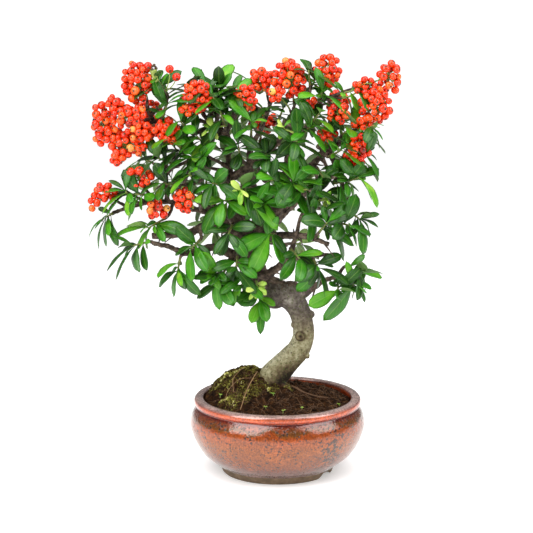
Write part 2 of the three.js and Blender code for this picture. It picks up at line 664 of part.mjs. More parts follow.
function makeWood() {
  const parts = [tube(curves.trunk, radiusThrough(trunk.radii), trunkSides, trunkSteps)];
  for (const [name, { path, radii }] of Object.entries(limbs)) {
    parts.push(tube(curves[name], radiusThrough(radii), limbSides, path.length));
  }
  for (const { path, radii } of roots) {
    parts.push(tube(limbCurve(path), radiusThrough(radii), limbSides, rootSteps));
  }
  for (const { at, radius } of bumps) parts.push(bump(at, radius));
  for (const { from, to, radii } of stubs) {
    parts.push(tube(new THREE.LineCurve3(point(from), point(to)), radiusThrough(radii), stubSides, 1));
  }
  for (const [root, tip] of thorns) parts.push(thorn(root, tip));
  for (const row of [...sprays, ...bunches]) parts.push(spur(row));
  return fuse(parts);
}

// The plain hole that trunk and roots stand in: their own shape, grown all round by the clearance.
function rootHole() {
  const wide = (radii) => (along) => radiusThrough(radii)(along) + clearance;
  const sunk = trunk.path.map(([x, y, z], k) => [x, y, k === 0 ? z - clearance : z]);
  const parts = [tube(limbCurve(sunk), wide(trunk.radii), trunkSides, trunkSteps)];
  for (const { path, radii } of roots) {
    parts.push(tube(limbCurve(path), wide(radii), limbSides, rootSteps));
  }
  return parts.reduce((sum, part) => sum.add(part));
}

const wood = makeWood();
const pot = makePot();
const soil = fuse([makeSoil()]).subtract(rootHole());
addPiece("pot", pot, potGlaze);
addPiece("soil", soil, potSoil);
addPiece("wood", wood, bark);

// Twigs take their places first, then the berries, then the leaves between them.
const twigs = sprays.map(twig);
const placed = [pot, soil, wood];
bunches.forEach((row, number) => {
  const body = makeBunch(row, number, [...placed, ...twigs]);
  placed.push(body);
  addPiece(`berries_${row.name}`, body, berryRed);
});
sprays.forEach((row, number) => {
  const others = [...placed, ...twigs.filter((_, k) => k !== number)];
  const body = makeSpray(row, number, twigs[number], others);
  placed.push(body);
  addPiece(`leaves_${row.name}`, body, leafGreen);
});

tree.position.set(...crownShift);

export default tree;
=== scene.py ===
import math
import random
from functools import partial

import bmesh
import bpy
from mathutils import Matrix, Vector, noise


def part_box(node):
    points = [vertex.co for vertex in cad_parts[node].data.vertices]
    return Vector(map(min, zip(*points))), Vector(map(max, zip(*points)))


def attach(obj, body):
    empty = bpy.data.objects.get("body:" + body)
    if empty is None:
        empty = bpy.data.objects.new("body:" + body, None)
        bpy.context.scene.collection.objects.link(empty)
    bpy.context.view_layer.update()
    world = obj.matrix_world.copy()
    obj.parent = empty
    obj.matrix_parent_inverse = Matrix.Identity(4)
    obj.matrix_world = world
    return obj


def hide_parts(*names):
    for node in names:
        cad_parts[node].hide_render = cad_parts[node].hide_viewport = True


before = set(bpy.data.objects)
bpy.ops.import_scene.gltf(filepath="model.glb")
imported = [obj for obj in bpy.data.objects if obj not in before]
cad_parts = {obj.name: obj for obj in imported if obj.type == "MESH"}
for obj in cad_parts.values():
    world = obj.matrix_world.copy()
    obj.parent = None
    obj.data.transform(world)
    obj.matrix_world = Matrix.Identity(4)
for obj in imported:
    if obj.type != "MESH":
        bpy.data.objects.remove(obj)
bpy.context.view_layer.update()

potLow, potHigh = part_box("pot")
potAxis = Vector(((potLow.x + potHigh.x) / 2, (potLow.y + potHigh.y) / 2, 0))
metresPerMm = 0.001
up = Vector((0, 0, 1))
goldenTurn = math.radians(137.5)
crownMiddle = Vector((-24, 6, 225))
clearance = 0.35


def at(place):
    return potAxis + Vector(place) * metresPerMm


def mix(low, high, share):
    return low + (high - low) * share


def taper(wide, narrow, steps):
    return [mix(wide, narrow, k / steps) for k in range(steps + 1)]


def clamp(value, low=0, high=1):
    return min(max(value, low), high)


# A soft spot: 1 in its middle, a third at its reach and nothing far outside
def fade(distance, reach):
    return math.exp(-(distance / reach) ** 2)


def turns(sides):
    return [2 * math.pi * k / sides for k in range(sides)]


# A place on a ring round the pot's axis
def around(turn, reach=1, level=0):
    return Vector((reach * math.cos(turn), reach * math.sin(turn), level))


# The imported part's own draw, so that leaves and berries come out where its solids are
def makeDraw(seed):
    state = [seed]

    def draw():
        state[0] = (state[0] * 1664525 + 1013904223) % 4294967296
        return state[0] / 4294967296

    return draw


# Materials

def linear(hexColour):
    shares = [int(hexColour[k:k + 2], 16) / 255 for k in (1, 3, 5)]
    return (*[s / 12.92 if s <= 0.04045 else ((s + 0.055) / 1.055) ** 2.4 for s in shares], 1)


# Links a socket, or the first output of a node, to a node's input
def feed(node, key, value):
    socket = value.outputs[0] if isinstance(value, bpy.types.Node) else value
    node.id_data.links.new(socket, node.inputs[key])


# Adds one node with its settings, its fixed inputs, its links and, on a ramp, its stops
def addNode(tree, kind, inputs=None, links=None, stops=None, **settings):
    node = tree.nodes.new("ShaderNode" + kind)
    for name, value in settings.items():
        setattr(node, name, value)
    for key, value in (inputs or {}).items():
        node.inputs[key].default_value = value
    for key, value in (links or {}).items():
        feed(node, key, value)
    for k, (place, colour) in enumerate(stops or []):
        elements = node.color_ramp.elements
        element = elements[k] if k < len(elements) else elements.new(place)
        element.position = place
        element.color = linear(colour)
    return node


def newMaterial(name, **fixed):
    material = bpy.data.materials.new(name)
    material.use_nodes = True
    shader = material.node_tree.nodes["Principled BSDF"]
    for key, value in fixed.items():
        shader.inputs[key].default_value = value
    return material, partial(addNode, material.node_tree), shader


def perMetre(spacingMm):
    return 1000 / spacingMm


print("materials")

glazeLook = {
    "blotchMm": 14,
    "fleckMm": 2.3,
    "raggedMm": 2.4,
    "grainMm": 1.2,
    "topMm": 60,
    "streakAt": (42, -51, 32),
    "streakReachMm": 16,
}


# Stoneware under a copper-red glaze, fired in reduction: a wet gloss over a mottled orange body,
# with dark metal flecks, an olive break under the neck and a rosy veil above the foot
def makeGlaze():
    material, add, shader = newMaterial("copperRedStonewareGlaze",
        **{"IOR": 1.5, "Metallic": 0.2, "Specular IOR Level": 0.05, "Coat Weight": 1.0,
        "Coat Roughness": 0.05, "Coat IOR": 1.62})
    place = add("TexCoord").outputs["Object"]
    blotch = add("TexNoise", {"Scale": perMetre(glazeLook["blotchMm"]), "Detail": 5.0, "Roughness": 0.62},
        {"Vector": place})
    grain = add("TexNoise", {"Scale": perMetre(glazeLook["grainMm"]), "Detail": 2.0}, {"Vector": place})
    height = add("SeparateXYZ", links={"Vector": place})
    level = add("MapRange", {"From Max": glazeLook["topMm"] * metresPerMm},
        {"Value": height.outputs["Z"]})
    wander = add("MapRange", {"From Min": 0.3, "From Max": 0.7, "To Min": -0.07, "To Max": 0.07},
        {"Value": blotch})
    broken = add("Math", links={0: level, 1: wander})
    bands = add("ValToRGB", links={"Fac": broken}, stops=[(0.0, "#532a20"), (0.16, "#612f1a"),
        (0.28, "#743b15"), (0.52, "#884815"), (0.67, "#8b4215"), (0.735, "#8a3e14"), (0.775, "#5a3712"),
        (0.82, "#6c341b")])
    # Rim colours: a dark groove line, the red rim side, and a purple-grey lip that is partly the glaze's
    # own colour and partly painted reflection of the lamps
    rimBandsAndLipReflection = add("ValToRGB", links={"Fac": level}, stops=[(0.83, "#5a1c10"), (0.862, "#54160c"),
        (0.885, "#a8401e"), (0.935, "#b0512c"), (0.958, "#8d6864"), (0.974, "#9c8682")])
    rimShare = add("MapRange", {"From Min": 0.825, "From Max": 0.85}, {"Value": level})
    coat = add("Mix", links={0: rimShare, 6: bands, 7: rimBandsAndLipReflection}, data_type="RGBA")
    mottle = add("ValToRGB", links={"Fac": blotch}, stops=[(0.3, "#86796f"), (0.5, "#bdbab8"),
        (0.72, "#e2dcd2")])
    toned = add("Mix", {0: 0.55}, {6: coat.outputs[2], 7: mottle}, data_type="RGBA", blend_type="OVERLAY")
    # Flecks: small dark cells, fewer where the blotches are pale and crowded along one run of glaze
    ragged = add("TexNoise", {"Scale": perMetre(glazeLook["raggedMm"]), "Detail": 3.0}, {"Vector": place})
    shift = add("VectorMath", {1: (0.005, 0.005, 0.005)}, {0: ragged.outputs["Color"], 2: place},
        operation="MULTIPLY_ADD")
    cells = add("TexVoronoi", {"Scale": perMetre(glazeLook["fleckMm"]), "Randomness": 1.0},
        {"Vector": shift})
    fromStreak = add("VectorMath", {1: at(glazeLook["streakAt"])}, {0: place}, operation="SUBTRACT")
    tall = add("VectorMath", {1: (1, 1, 0.6)}, {0: fromStreak}, operation="MULTIPLY")
    streak = add("VectorMath", links={0: tall}, operation="LENGTH")
    near = add("MapRange", {"From Max": glazeLook["streakReachMm"] * metresPerMm, "To Min": 0.42,
        "To Max": 0.0}, {"Value": streak.outputs["Value"]})
    crowd = add("MapRange", {"From Min": 0.36, "From Max": 0.64, "To Min": 0.25, "To Max": 0.56},
        {"Value": blotch})
    picked = add("MapRange", {"From Min": 0.36, "From Max": 0.56, "To Min": -0.5, "To Max": 0.0},
        {"Value": cells.outputs["Color"]})
    crowded = add("Math", links={0: crowd, 1: picked})
    reach = add("Math", links={0: crowded, 1: near})
    edge = add("Math", links={0: reach, 1: cells}, operation="SUBTRACT")
    fleck = add("MapRange", {"From Min": -0.02, "From Max": 0.08, "To Max": 0.85}, {"Value": edge})
    bodyOnly = add("Math", {1: 0.84}, {0: level}, operation="LESS_THAN")
    fleckShare = add("Math", links={0: fleck, 1: bodyOnly}, operation="MULTIPLY")
    flecked = add("Mix", {7: linear("#1e1611")}, {0: fleckShare, 6: toned.outputs[2]}, data_type="RGBA")
    speckle = add("ValToRGB", links={"Fac": grain}, stops=[(0.32, "#5e554e"), (0.5, "#bdb8b2"),
        (0.68, "#f0ece8")])
    colour = add("Mix", {0: 0.6}, {6: flecked.outputs[2], 7: speckle}, data_type="RGBA",
        blend_type="OVERLAY")
    feed(shader, "Base Color", colour.outputs[2])
    gloss = add("MapRange", {"To Min": 0.22, "To Max": 0.42}, {"Value": fleckShare})
    feed(shader, "Roughness", gloss)
    relief = add("Math", {1: 0.35}, {0: grain, 2: fleckShare}, operation="MULTIPLY_ADD")
    peel = add("Math", {1: 0.8}, {0: ragged, 2: relief}, operation="MULTIPLY_ADD")
    bump = add("Bump", {"Strength": 0.28, "Distance": 0.0006}, {"Height": peel})
    feed(shader, "Normal", bump)
    feed(shader, "Coat Normal", bump)
    return material


def addGrain(add, shader, grainMm, bumpMm, place):
    grain = add("TexNoise", {"Scale": perMetre(grainMm), "Detail": 4.0}, {"Vector": place})
    bump = add("Bump", {"Strength": 0.7, "Distance": bumpMm * metresPerMm}, {"Height": grain})
    feed(shader, "Normal", bump)


# A material of two or three natural tones broken up by one noise, with a bump from a finer one
def makeMottled(name, toneMm, grainMm, stops, bumpMm, roughness, **fixed):
    material, add, shader = newMaterial(name, **{"Roughness": roughness, **fixed})
    place = add("TexCoord").outputs["Object"]
    tones = add("TexNoise", {"Scale": perMetre(toneMm), "Detail": 6.0, "Roughness": 0.65},
        {"Vector": place})
    colour = add("ValToRGB", links={"Fac": tones}, stops=stops)
    feed(shader, "Base Color", colour)
    addGrain(add, shader, grainMm, bumpMm, place)
    return material


# A material whose tone is stored with each leaf, berry or crumb, broken up by a fine noise
def makeToned(name, spotMm, spread, stops, roughness, **fixed):
    material, add, shader = newMaterial(name, **{"Roughness": roughness, **fixed})
    stored = add("Attribute", attribute_name="growth")
    growth = add("SeparateXYZ", links={"Vector": stored.outputs["Vector"]})
    spots = add("TexNoise", {"Scale": perMetre(spotMm), "Detail": 3.0},
        {"Vector": add("TexCoord").outputs["Object"]})
    wander = add("MapRange", {"From Min": 0.25, "From Max": 0.75, "To Min": -spread, "To Max": spread},
        {"Value": spots})
    tone = add("Math", links={0: growth.outputs["Z"], 1: wander})
    colour = add("ValToRGB", links={"Fac": tone}, stops=stops)
    feed(shader, "Base Color", colour)
    return material, add, shader, growth, colour


# Leaf skin, a waxy cuticle grown smooth above: dark green with a wet gloss, a paler midrib and faint
# side veins that leave it in pairs
def makeLeafTop():
    material, add, shader, growth, colour = makeToned("waxyLeafUpperSide", 9, 0.13,
        [(0.0, "#103205"), (0.3, "#1c5006"), (0.55, "#2f7608"), (0.75, "#529214"), (0.88, "#86ae36"),
        (1.0, "#b4cc62")], 0.36, **{"IOR": 1.45, "Specular IOR Level": 0.32, "Coat Weight": 0.08,
        "Coat Roughness": 0.16})
    offset = add("Math", links={0: growth.outputs["X"]}, operation="ABSOLUTE")
    rib = add("MapRange", {"From Min": 0.02, "From Max": 0.1, "To Min": 0.32, "To Max": 0.0},
        {"Value": offset})
    # Side veins run forward at about 45 degrees: stripes in length less a share of width
    slant = add("Math", {1: -0.32}, {0: offset, 2: growth.outputs["Y"]}, operation="MULTIPLY_ADD")
    waves = add("Math", {1: 50.0}, {0: slant}, operation="MULTIPLY")
    stripe = add("Math", links={0: waves}, operation="SINE")
    vein = add("MapRange", {"From Min": 0.75, "From Max": 1.0, "To Max": 0.12}, {"Value": stripe})
    lines = add("Math", links={0: rib, 1: vein}, operation="MAXIMUM")
    veined = add("Mix", {7: linear("#7fa648")}, {0: lines, 6: colour}, data_type="RGBA")
    feed(shader, "Base Color", veined.outputs[2])
    bump = add("Bump", {"Strength": 0.35, "Distance": 0.0003}, {"Height": lines}, invert=True)
    feed(shader, "Normal", bump)
    return material


# Young firethorn bark, smooth grown: olive-grey skin, browner and darker where its tone is low, with
# small dark pores and specks of green film. The stored tone also holds painted light and shade
def makeTrunkBark():
    material, add, shader, growth, colour = makeToned("smoothOliveBark", 2.6, 0.2,
        [(0.0, "#241a10"), (0.22, "#4c3e29"), (0.42, "#6b6044"), (0.6, "#888263"), (0.8, "#a8a387"),
        (1.0, "#c8c4a9")], 0.7, **{"Specular IOR Level": 0.25})
    grey = add("HueSaturation", {"Hue": 0.47, "Saturation": 0.5, "Value": 1.1},
        {"Color": colour, "Fac": growth.outputs["X"]})
    place = add("TexCoord").outputs["Object"]
    ragged = add("TexNoise", {"Scale": perMetre(1.8), "Detail": 3.0}, {"Vector": place})
    shift = add("VectorMath", {1: (0.004, 0.004, 0.004)}, {0: ragged.outputs["Color"], 2: place},
        operation="MULTIPLY_ADD")
    skin = grey
    for spacingMm, reach, fleckColour in ((2.1, 0.36, "#4c5426"), (2.7, 0.28, "#231c12")):
        cells = add("TexVoronoi", {"Scale": perMetre(spacingMm)}, {"Vector": shift})
        share = add("MapRange", {"From Min": reach, "From Max": reach * 0.5, "To Max": 0.75},
            {"Value": cells})
        flecked = add("Mix", {7: linear(fleckColour)}, {0: share, 6: skin}, data_type="RGBA")
        skin = flecked.outputs[2]
    feed(shader, "Base Color", skin)
    addGrain(add, shader, 1.3, 0.35, place)
    return material


glaze = makeGlaze()
# Bare fired clay on the foot, turned and sponged: matt grey-brown with fine grit
bareClay = makeMottled("bareStonewareFoot", 5, 0.8, [(0.3, "#4f4130"), (0.55, "#6d5943"),
    (0.75, "#87725b")], 0.25, 0.85)
# Peat potting soil, crumbled: nearly black between crumbs and red-brown on top of them
peat = makeMottled("crumbledPeat", 3, 0.9, [(0.32, "#0e0804"), (0.5, "#241408"), (0.62, "#3e2611"),
    (0.78, "#664320")], 0.8, 0.95, **{"Specular IOR Level": 0.1})
trunkBark = makeTrunkBark()
# Older shaded bark on the limbs, grown rough: dark umber with grey ridges
limbBark = makeMottled("darkRidgedBark", 4, 0.9, [(0.3, "#221813"), (0.45, "#42342a"), (0.58, "#69584a"),
    (0.74, "#948370")], 0.5, 0.85)
# This year's shoots: thin green skin that turns brown towards the wood
shootSkin, *_ = makeToned("youngShootSkin", 3, 0.15, [(0.0, "#3b2a20"), (0.4, "#5a4a30"),
    (0.7, "#77843c"), (1.0, "#a3bb5c")], 0.6)
leafTop = makeLeafTop()
# The leaf's lower side, matt and paler, where the light comes through
leafBack, *_ = makeToned("mattLeafUnderSide", 6, 0.1, [(0.0, "#3f6429"), (0.5, "#648542"),
    (0.8, "#8aa957"), (1.0, "#aac676")], 0.6)
# Ripe berry skin, thin and polished by growth: saturated orange-red, yellow where still unripe
berrySkin, *_ = makeToned("polishedBerrySkin", 2.5, 0.05,
    [(0.0, "#4a2413"), (0.08, "#8a1204"), (0.25, "#d02404"), (0.6, "#e63808"), (0.78, "#ee5410"),
    (0.9, "#e98a42"), (1.0, "#c9b04a")], 0.26, **{"IOR": 1.45, "Specular IOR Level": 0.35,
    "Coat Weight": 0.3, "Coat Roughness": 0.1})
# The dried calyx on each berry's crown: brown-black and papery
calyxSkin = makeMottled("driedCalyx", 1, 0.4, [(0.3, "#231a12"), (0.7, "#65523a")], 0.1, 0.9)
# Moss cushions: soft growth, yellow-green at the tips and dark between
mossLeaf, *_ = makeToned("cushionMoss", 1.5, 0.16, [(0.0, "#201809"), (0.35, "#463d1a"), (0.6, "#6e6a2a"),
    (0.82, "#a3a04a"), (1.0, "#d8d294")], 0.9, **{"Specular IOR Level": 0.1})
# Dead roots and straw, dried: tan and slightly glossy
dryFibre, *_ = makeToned("dryRootFibre", 2, 0.1, [(0.0, "#2b1a0f"), (0.5, "#6a4a2e"), (0.8, "#94714c"),
    (1.0, "#a8866a")], 0.7)


# Mesh makers: each adds closed shapes to a bag of points, faces, finishes and growth values

def newBag():
    return {"points": [], "faces": [], "finishes": [], "growth": []}


def addShape(bag, points, faces, finish, growth):
    first = len(bag["points"])
    bag["points"] += points
    bag["faces"] += [[first + k for k in face] for face in faces]
    bag["finishes"] += finish if isinstance(finish, list) else [finish] * len(faces)
    bag["growth"] += growth if isinstance(growth, list) else [(0, 0, growth)] * len(points)


# A tube through points, its rings carried along without twist. Roughness swells and pinches it.
def addTube(bag, path, radii, sides, finish=0, tone=0.5, roughness=0.0):
    points = []
    ahead = (path[1] - path[0]).normalized()
    across = ahead.orthogonal().normalized()
    for k, place in enumerate(path):
        ahead = (path[min(k + 1, len(path) - 1)] - path[max(k - 1, 0)]).normalized()
        across = (across - ahead * across.dot(ahead)).normalized()
        other = ahead.cross(across)
        for turn in turns(sides):
            out = across * math.cos(turn) + other * math.sin(turn)
            swell = 1 + roughness * noise.noise((place + out * radii[k]) * 0.45)
            points.append(place + out * radii[k] * swell)
    faces = []
    for k in range(len(path) - 1):
        for side in range(sides):
            ahead = (side + 1) % sides
            faces.append([k * sides + side, k * sides + ahead, (k + 1) * sides + ahead,
                          (k + 1) * sides + side])
    faces.append(list(range(sides))[::-1])
    faces.append([len(points) - sides + side for side in range(sides)])
    addShape(bag, points, faces, finish, tone)


# A fan round the first point, then rows of faces from ring to ring
def domeFaces(rings, sides):
    faces = [[0, 1 + k, 1 + (k + 1) % sides] for k in range(sides)]
    for i in range(rings - 1):
        for k in range(sides):
            here, after = 1 + i * sides, 1 + (i + 1) * sides
            faces.append([here + k, after + k, after + (k + 1) % sides, here + (k + 1) % sides])
    return faces


def limbPoint(path, share):
    last = len(path) - 1
    reach = last * share
    k = min(int(reach), last - 1)
    w = reach - k
    here, after = path[k], path[k + 1]
    before = path[k - 1] if k > 0 else here * 2 - after
    beyond = path[k + 2] if k + 2 <= last else after * 2 - here
    start, end = (after - before) * 0.5, (beyond - here) * 0.5
    cubic = here * 2 - after * 2 + start + end
    square = after * 3 - here * 3 - start * 2 - end
    return cubic * w ** 3 + square * w ** 2 + start * w + here


def radiusThrough(radii, share):
    reach = share * (len(radii) - 1)
    low = min(int(reach), len(radii) - 2)
    return mix(radii[low], radii[low + 1], reach - low)


def radiiThrough(radii, steps):
    return [radiusThrough(radii, k / steps) for k in range(steps + 1)]


def smoothPath(places, steps):
    path = [Vector(place) for place in places]
    return [limbPoint(path, k / steps) for k in range(steps + 1)]


def bezierPath(a, b, c, d, steps):
    found = []
    for k in range(steps + 1):
        t = k / steps
        s = 1 - t
        found.append(a * s ** 3 + b * 3 * s * s * t + c * 3 * s * t * t + d * t ** 3)
    return found


# A stretch of stalk or twig through a few places, thick at its start and thin at its end
def addTaper(bag, places, wide, narrow, steps, sides, *look):
    addTube(bag, smoothPath(places, steps), taper(wide, narrow, steps), sides, *look)


bladeForm = {"stations": 10, "across": (-1, -0.66, -0.3, 0, 0.3, 0.66, 1), "thicknessMm": 0.55,
             "stalkMm": 0.45, "edgeDrop": 0.16, "waviness": 0.035, "tipDroop": 0.12}


# How wide the blade is along its length: a wedge from the stalk, widest past the middle, round at the tip
def bladeShare(along):
    bent = ((along - 0.04) / 0.96) ** 1.25 if along > 0.04 else 0
    fall = abs(2 * bent - 1) ** 2.3
    return (1 - fall) ** (0.95 if bent < 0.5 else 0.62)


# A leaf: two arched layers that share their edge, so that it is closed and thin at the margin
def addLeaf(bag, leaf, tone, droop=0.0, fold=0.22):
    form = bladeForm
    run = leaf["tip"] - leaf["base"]
    length = run.length
    side = run.cross(leaf["face"]).normalized()
    lift = side.cross(run).normalized()
    last = form["stations"]
    edge = len(form["across"]) - 1
    points, growth, index = [], [], {}
    for layer in (0, 1):
        for i in range(last + 1):
            along = i / last
            half = max(leaf["width"] / 2 * bladeShare(along), form["stalkMm"] * (1 - 0.8 * along))
            for k, across in enumerate(form["across"]):
                if layer and (k in (0, edge) or i == last):
                    index[layer, i, k] = index[0, i, k]
                    continue
                thick = form["thicknessMm"] * (1 - across ** 2) * (0.5 - layer)
                curl = fold * abs(across) * half - form["edgeDrop"] * across ** 2 * half
                wave = form["waviness"] * half * math.sin(along * 13 + tone * 40) * across * abs(across)
                arch = (1 - along) * along * (leaf["bulge"] * 4 - droop * length * form["tipDroop"] * along)
                index[layer, i, k] = len(points)
                points.append(leaf["base"] + run * along + side * (across * half)
                              + lift * (arch + curl + wave + thick))
                growth.append((across, along, tone))
    faces, finishes = [], []
    for i in range(last):
        for k in range(edge):
            for layer in (0, 1):
                face = [index[layer, i, k], index[layer, i, k + 1], index[layer, i + 1, k + 1],
                        index[layer, i + 1, k]]
                faces.append(face if layer else face[::-1])
                finishes.append(layer)
    stalkEnd = [index[0, 0, k] for k in range(edge + 1)] + [index[1, 0, k] for k in range(edge - 1, 0, -1)]
    faces.append(stalkEnd)
    finishes.append(0)
    addShape(bag, points, faces, finishes, growth)


def ballShape(subdivisions, radius):
    ball = bmesh.new()
    bmesh.ops.create_icosphere(ball, subdivisions=subdivisions, radius=radius)
    points = [vertex.co.copy() for vertex in ball.verts]
    faces = [[vertex.index for vertex in face.verts] for face in ball.faces]
    ball.free()
    return points, faces


lumpPoints, lumpFaces = ballShape(1, 1)


def addLump(bag, place, size, chance, finish=0, tone=0.5):
    points = [place + Vector([co * size[k] * chance.uniform(0.7, 1.25) for k, co in enumerate(point)])
              for point in lumpPoints]
    addShape(bag, points, lumpFaces, finish, tone)


berryForm = {"rings": 7, "sides": 10, "flat": 0.9, "dimple": 0.2, "calyxShare": 0.34, "lobes": 5}


# A berry: a ball a little flattened, dimpled at its crown, where five dried lobes stand
def addBerry(bag, place, radius, axis, tone, skin=0, calyx=1):
    form = berryForm
    sides, rings = form["sides"], form["rings"]
    across = axis.orthogonal().normalized()
    other = axis.cross(across)

    def spot(polar, turn, out=0.0):
        dimple = form["dimple"] * fade(polar, form["calyxShare"])
        rise = math.cos(polar) * form["flat"] - dimple + out
        wide = math.sin(polar) * (1 + out)
        out = across * (wide * math.cos(turn)) + other * (wide * math.sin(turn))
        return place + (axis * rise + out) * radius

    points = [spot(0, 0)]
    for i in range(1, rings):
        polar = math.pi * (i / rings) ** 0.9
        points += [spot(polar, turn) for turn in turns(sides)]
    points.append(spot(math.pi, 0))
    faces = domeFaces(rings - 1, sides)
    low = 1 + (rings - 2) * sides
    faces += [[low + k, len(points) - 1, low + (k + 1) % sides] for k in range(sides)]
    addShape(bag, points, faces, skin, tone)
    lobes = 2 * form["lobes"]
    star = []
    for out in (0.06, -0.16):
        for k, turn in enumerate(turns(lobes)):
            polar = form["calyxShare"] * (1.15 if k % 2 == 0 else 0.5)
            star.append(spot(polar, turn, out))
    star += [spot(0, 0, 0.03), spot(0, 0, -0.2)]
    faces = []
    for k in range(lobes):
        after = (k + 1) % lobes
        faces += [[k, after, 2 * lobes], [lobes + after, lobes + k, 2 * lobes + 1],
                  [k, lobes + k, lobes + after, after]]
    addShape(bag, star, faces, calyx, tone)


def newObject(name, data):
    made = bpy.data.objects.new(name, data)
    bpy.context.scene.collection.objects.link(made)
    return made


def makePiece(name, bag, materials, nodes=()):
    mesh = bpy.data.meshes.new(name)
    mesh.from_pydata([at(point) for point in bag["points"]], [], bag["faces"])
    for material in materials:
        mesh.materials.append(material)
    mesh.polygons.foreach_set("material_index", bag["finishes"])
    mesh.polygons.foreach_set("use_smooth", [True] * len(mesh.polygons))
    stored = mesh.attributes.new("growth", "FLOAT_VECTOR", "POINT")
    stored.data.foreach_set("vector", [value for row in bag["growth"] for value in row])
    turned = bmesh.new()
    turned.from_mesh(mesh)
    bmesh.ops.recalc_face_normals(turned, faces=turned.faces)
    turned.to_mesh(mesh)
    turned.free()
    piece = newObject(name, mesh)
    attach(piece, "root")
    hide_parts(*nodes)
    return piece


# The pot: turned stretches of outline from the drain hole over foot, belly and rim, and down inside

print("pot")

pot = {
    "sides": 144,
    "foot": [(6, 10), (6, 4), (35, 4), (35.4, 1.2), (36, 0), (41.8, 0), (42.6, 0.8), (44.2, 4.5),
             (45.9, 6.2)],
    "belly": [(46.4, 6.7), (52, 10.5), (57.5, 15.5), (62.3, 22.5), (65.7, 30), (67.4, 37), (67, 42.4),
              (65.6, 47), (63, 51)],
    "groove": [(62.3, 51.8), (62.4, 52.4)],
    "rim": [(63.4, 52.9), (64.3, 54), (64.5, 55.5), (63.9, 57.4), (62.3, 58.5)],
    "lip": [(58.4, 58.6), (57.3, 58.2), (56.9, 57.4)],
    "inside": [(57, 55), (58.2, 50), (60.4, 44), (61, 38.5), (59.8, 29), (56, 20), (51, 14), (45, 10)],
    "glazeLineWaveMm": 0.7,
    "handTurnedMm": 0.12,
    "footRingFrom": 34,
    "glazedFrom": 44,
    "notchTurns": (-28, 152),
    "notchHalfMm": 8.5,
    "notchLevel": 4,
}


def makePot():
    outline = list(pot["foot"])
    for name, steps in (("belly", 30), ("groove", 2), ("rim", 12), ("lip", 5), ("inside", 12)):
        outline += [(p.x, p.y) for p in smoothPath([(r, z, 0) for r, z in pot[name]], steps)]
    sides = pot["sides"]
    bag = newBag()
    points, faces, finishes = [], [], []
    for radius, level in outline:
        for turn in turns(sides):
            z = level
            if radius > pot["footRingFrom"] and level < pot["notchLevel"]:
                for notchTurn in pot["notchTurns"]:
                    apart = abs(math.sin(turn - math.radians(notchTurn))) * radius
                    if math.cos(turn - math.radians(notchTurn)) > 0:
                        depth = clamp((pot["notchHalfMm"] + 0.7 - apart) / 1.6)
                        z = max(z, pot["notchLevel"] * depth ** 0.7)
            if pot["glazedFrom"] < radius < pot["glazedFrom"] + 3 and level < 8:
                z += pot["glazeLineWaveMm"] * noise.noise(around(turn, 4))
            hand = pot["handTurnedMm"] * noise.noise(around(turn, 2, level * 0.06))
            points.append(around(turn, radius + (hand if radius > pot["glazedFrom"] else 0), z))
    rows = len(outline)
    for i in range(rows):
        bare = i < len(pot["foot"]) - 1
        for k in range(sides):
            after, below = (k + 1) % sides, (i + 1) % rows
            faces.append([i * sides + k, i * sides + after, below * sides + after, below * sides + k])
            finishes.append(1 if bare else 0)
    addShape(bag, points, faces, finishes, 0.5)
    return makePiece("glazedPot", bag, [glaze, bareClay], ["pot"])


makePot()


# The soil: crumbled peat heaped up to a mossy mound on the left, with a second lump before it

print("soil and moss")

soil = {
    "wallLevel": 52.5,
    "reach": 56.6,
    "innerReach": 57.3,
    "heap": 13,
    "mound": {"x": -29.5, "y": 8, "width": 22, "depth": 19, "height": 15},
    "footSwell": {"x": -3, "y": -10, "width": 17, "height": 5},
    "frontLump": (-33, -27, 10, 7),
    "rings": 64,
    "sides": 150,
    "crumbs": 900,
    "crumbReach": 55.5,
    "fibres": 520,
    "fibreReach": 52,
    "fibreStep": 2.1,
    "mossTufts": 7000,
    "mossReach": 54.5,
    "mossAcross": (-55, 12),
    "mossAlong": (-48, 38),
    "footMoss": [(9, -12, 6), (-5, -17, 8), (-17, -16, 9), (-26, -14, 10)],
    "crestCrumbs": [(-39, 2, 2), (-36, 0, 1.6), (-32, 3, 1.3), (-28, 6, 2.2), (-25.5, 4, 1.6),
                    (-22, 7, 1.3), (-41, -2, 1.4), (-18, 6, 1.2), (-44, -19, 1.3), (-42, -24, 1.2),
                    (-38, -29, 1.3), (-33, -33, 1.1)],
    "sprouts": [(4, -46), (47, -20), (-9, -42), (18, -40), (-44, -14), (-3, -26)],
    "stalks": [
        ([(-15.5, -10, 80), (-19, -19, 76.5), (-23.5, -31, 70), (-28, -45, 59.5)], 0.34, 0.72),
        ([(-20, -14, 76), (-29, -20, 76.5), (-37, -27, 70), (-40, -36, 63)], 0.22, 0.6),
        ([(-25, -4, 83), (-30, -12, 80), (-34, -20, 76), (-33, -31, 69)], 0.2, 0.75),
        ([(11, -14, 70), (20, -22, 67), (30, -25, 64.5), (38, -21, 62.5)], 0.5, 0.3),
    ],
}


def moundShare(x, y, wider=1.0):
    mound = soil["mound"]
    across = (x - mound["x"]) / (mound["width"] * wider)
    along = (y - mound["y"]) / (mound["depth"] * wider)
    return math.exp(-across ** 4 - along ** 4)


def soilLevel(x, y):
    reach = math.hypot(x, y)
    lumpX, lumpY, lumpWidth, lumpHeight = soil["frontLump"]
    heaped = soil["mound"]["height"] * moundShare(x, y)
    lump = lumpHeight * fade(math.hypot(x - lumpX, y - lumpY), lumpWidth)
    middle = soil["heap"] * math.cos(reach / soil["innerReach"] * math.pi * 0.48)
    foot = soil["footSwell"]
    swell = foot["height"] * fade(math.hypot(x - foot["x"], y - foot["y"]), foot["width"])
    waves = 0.9 * math.sin(x * 0.45 + 1.3) * math.cos(y * 0.5) + 0.6 * math.sin(x * 0.21 - y * 0.37)
    return soil["wallLevel"] + middle + heaped + lump + swell + waves


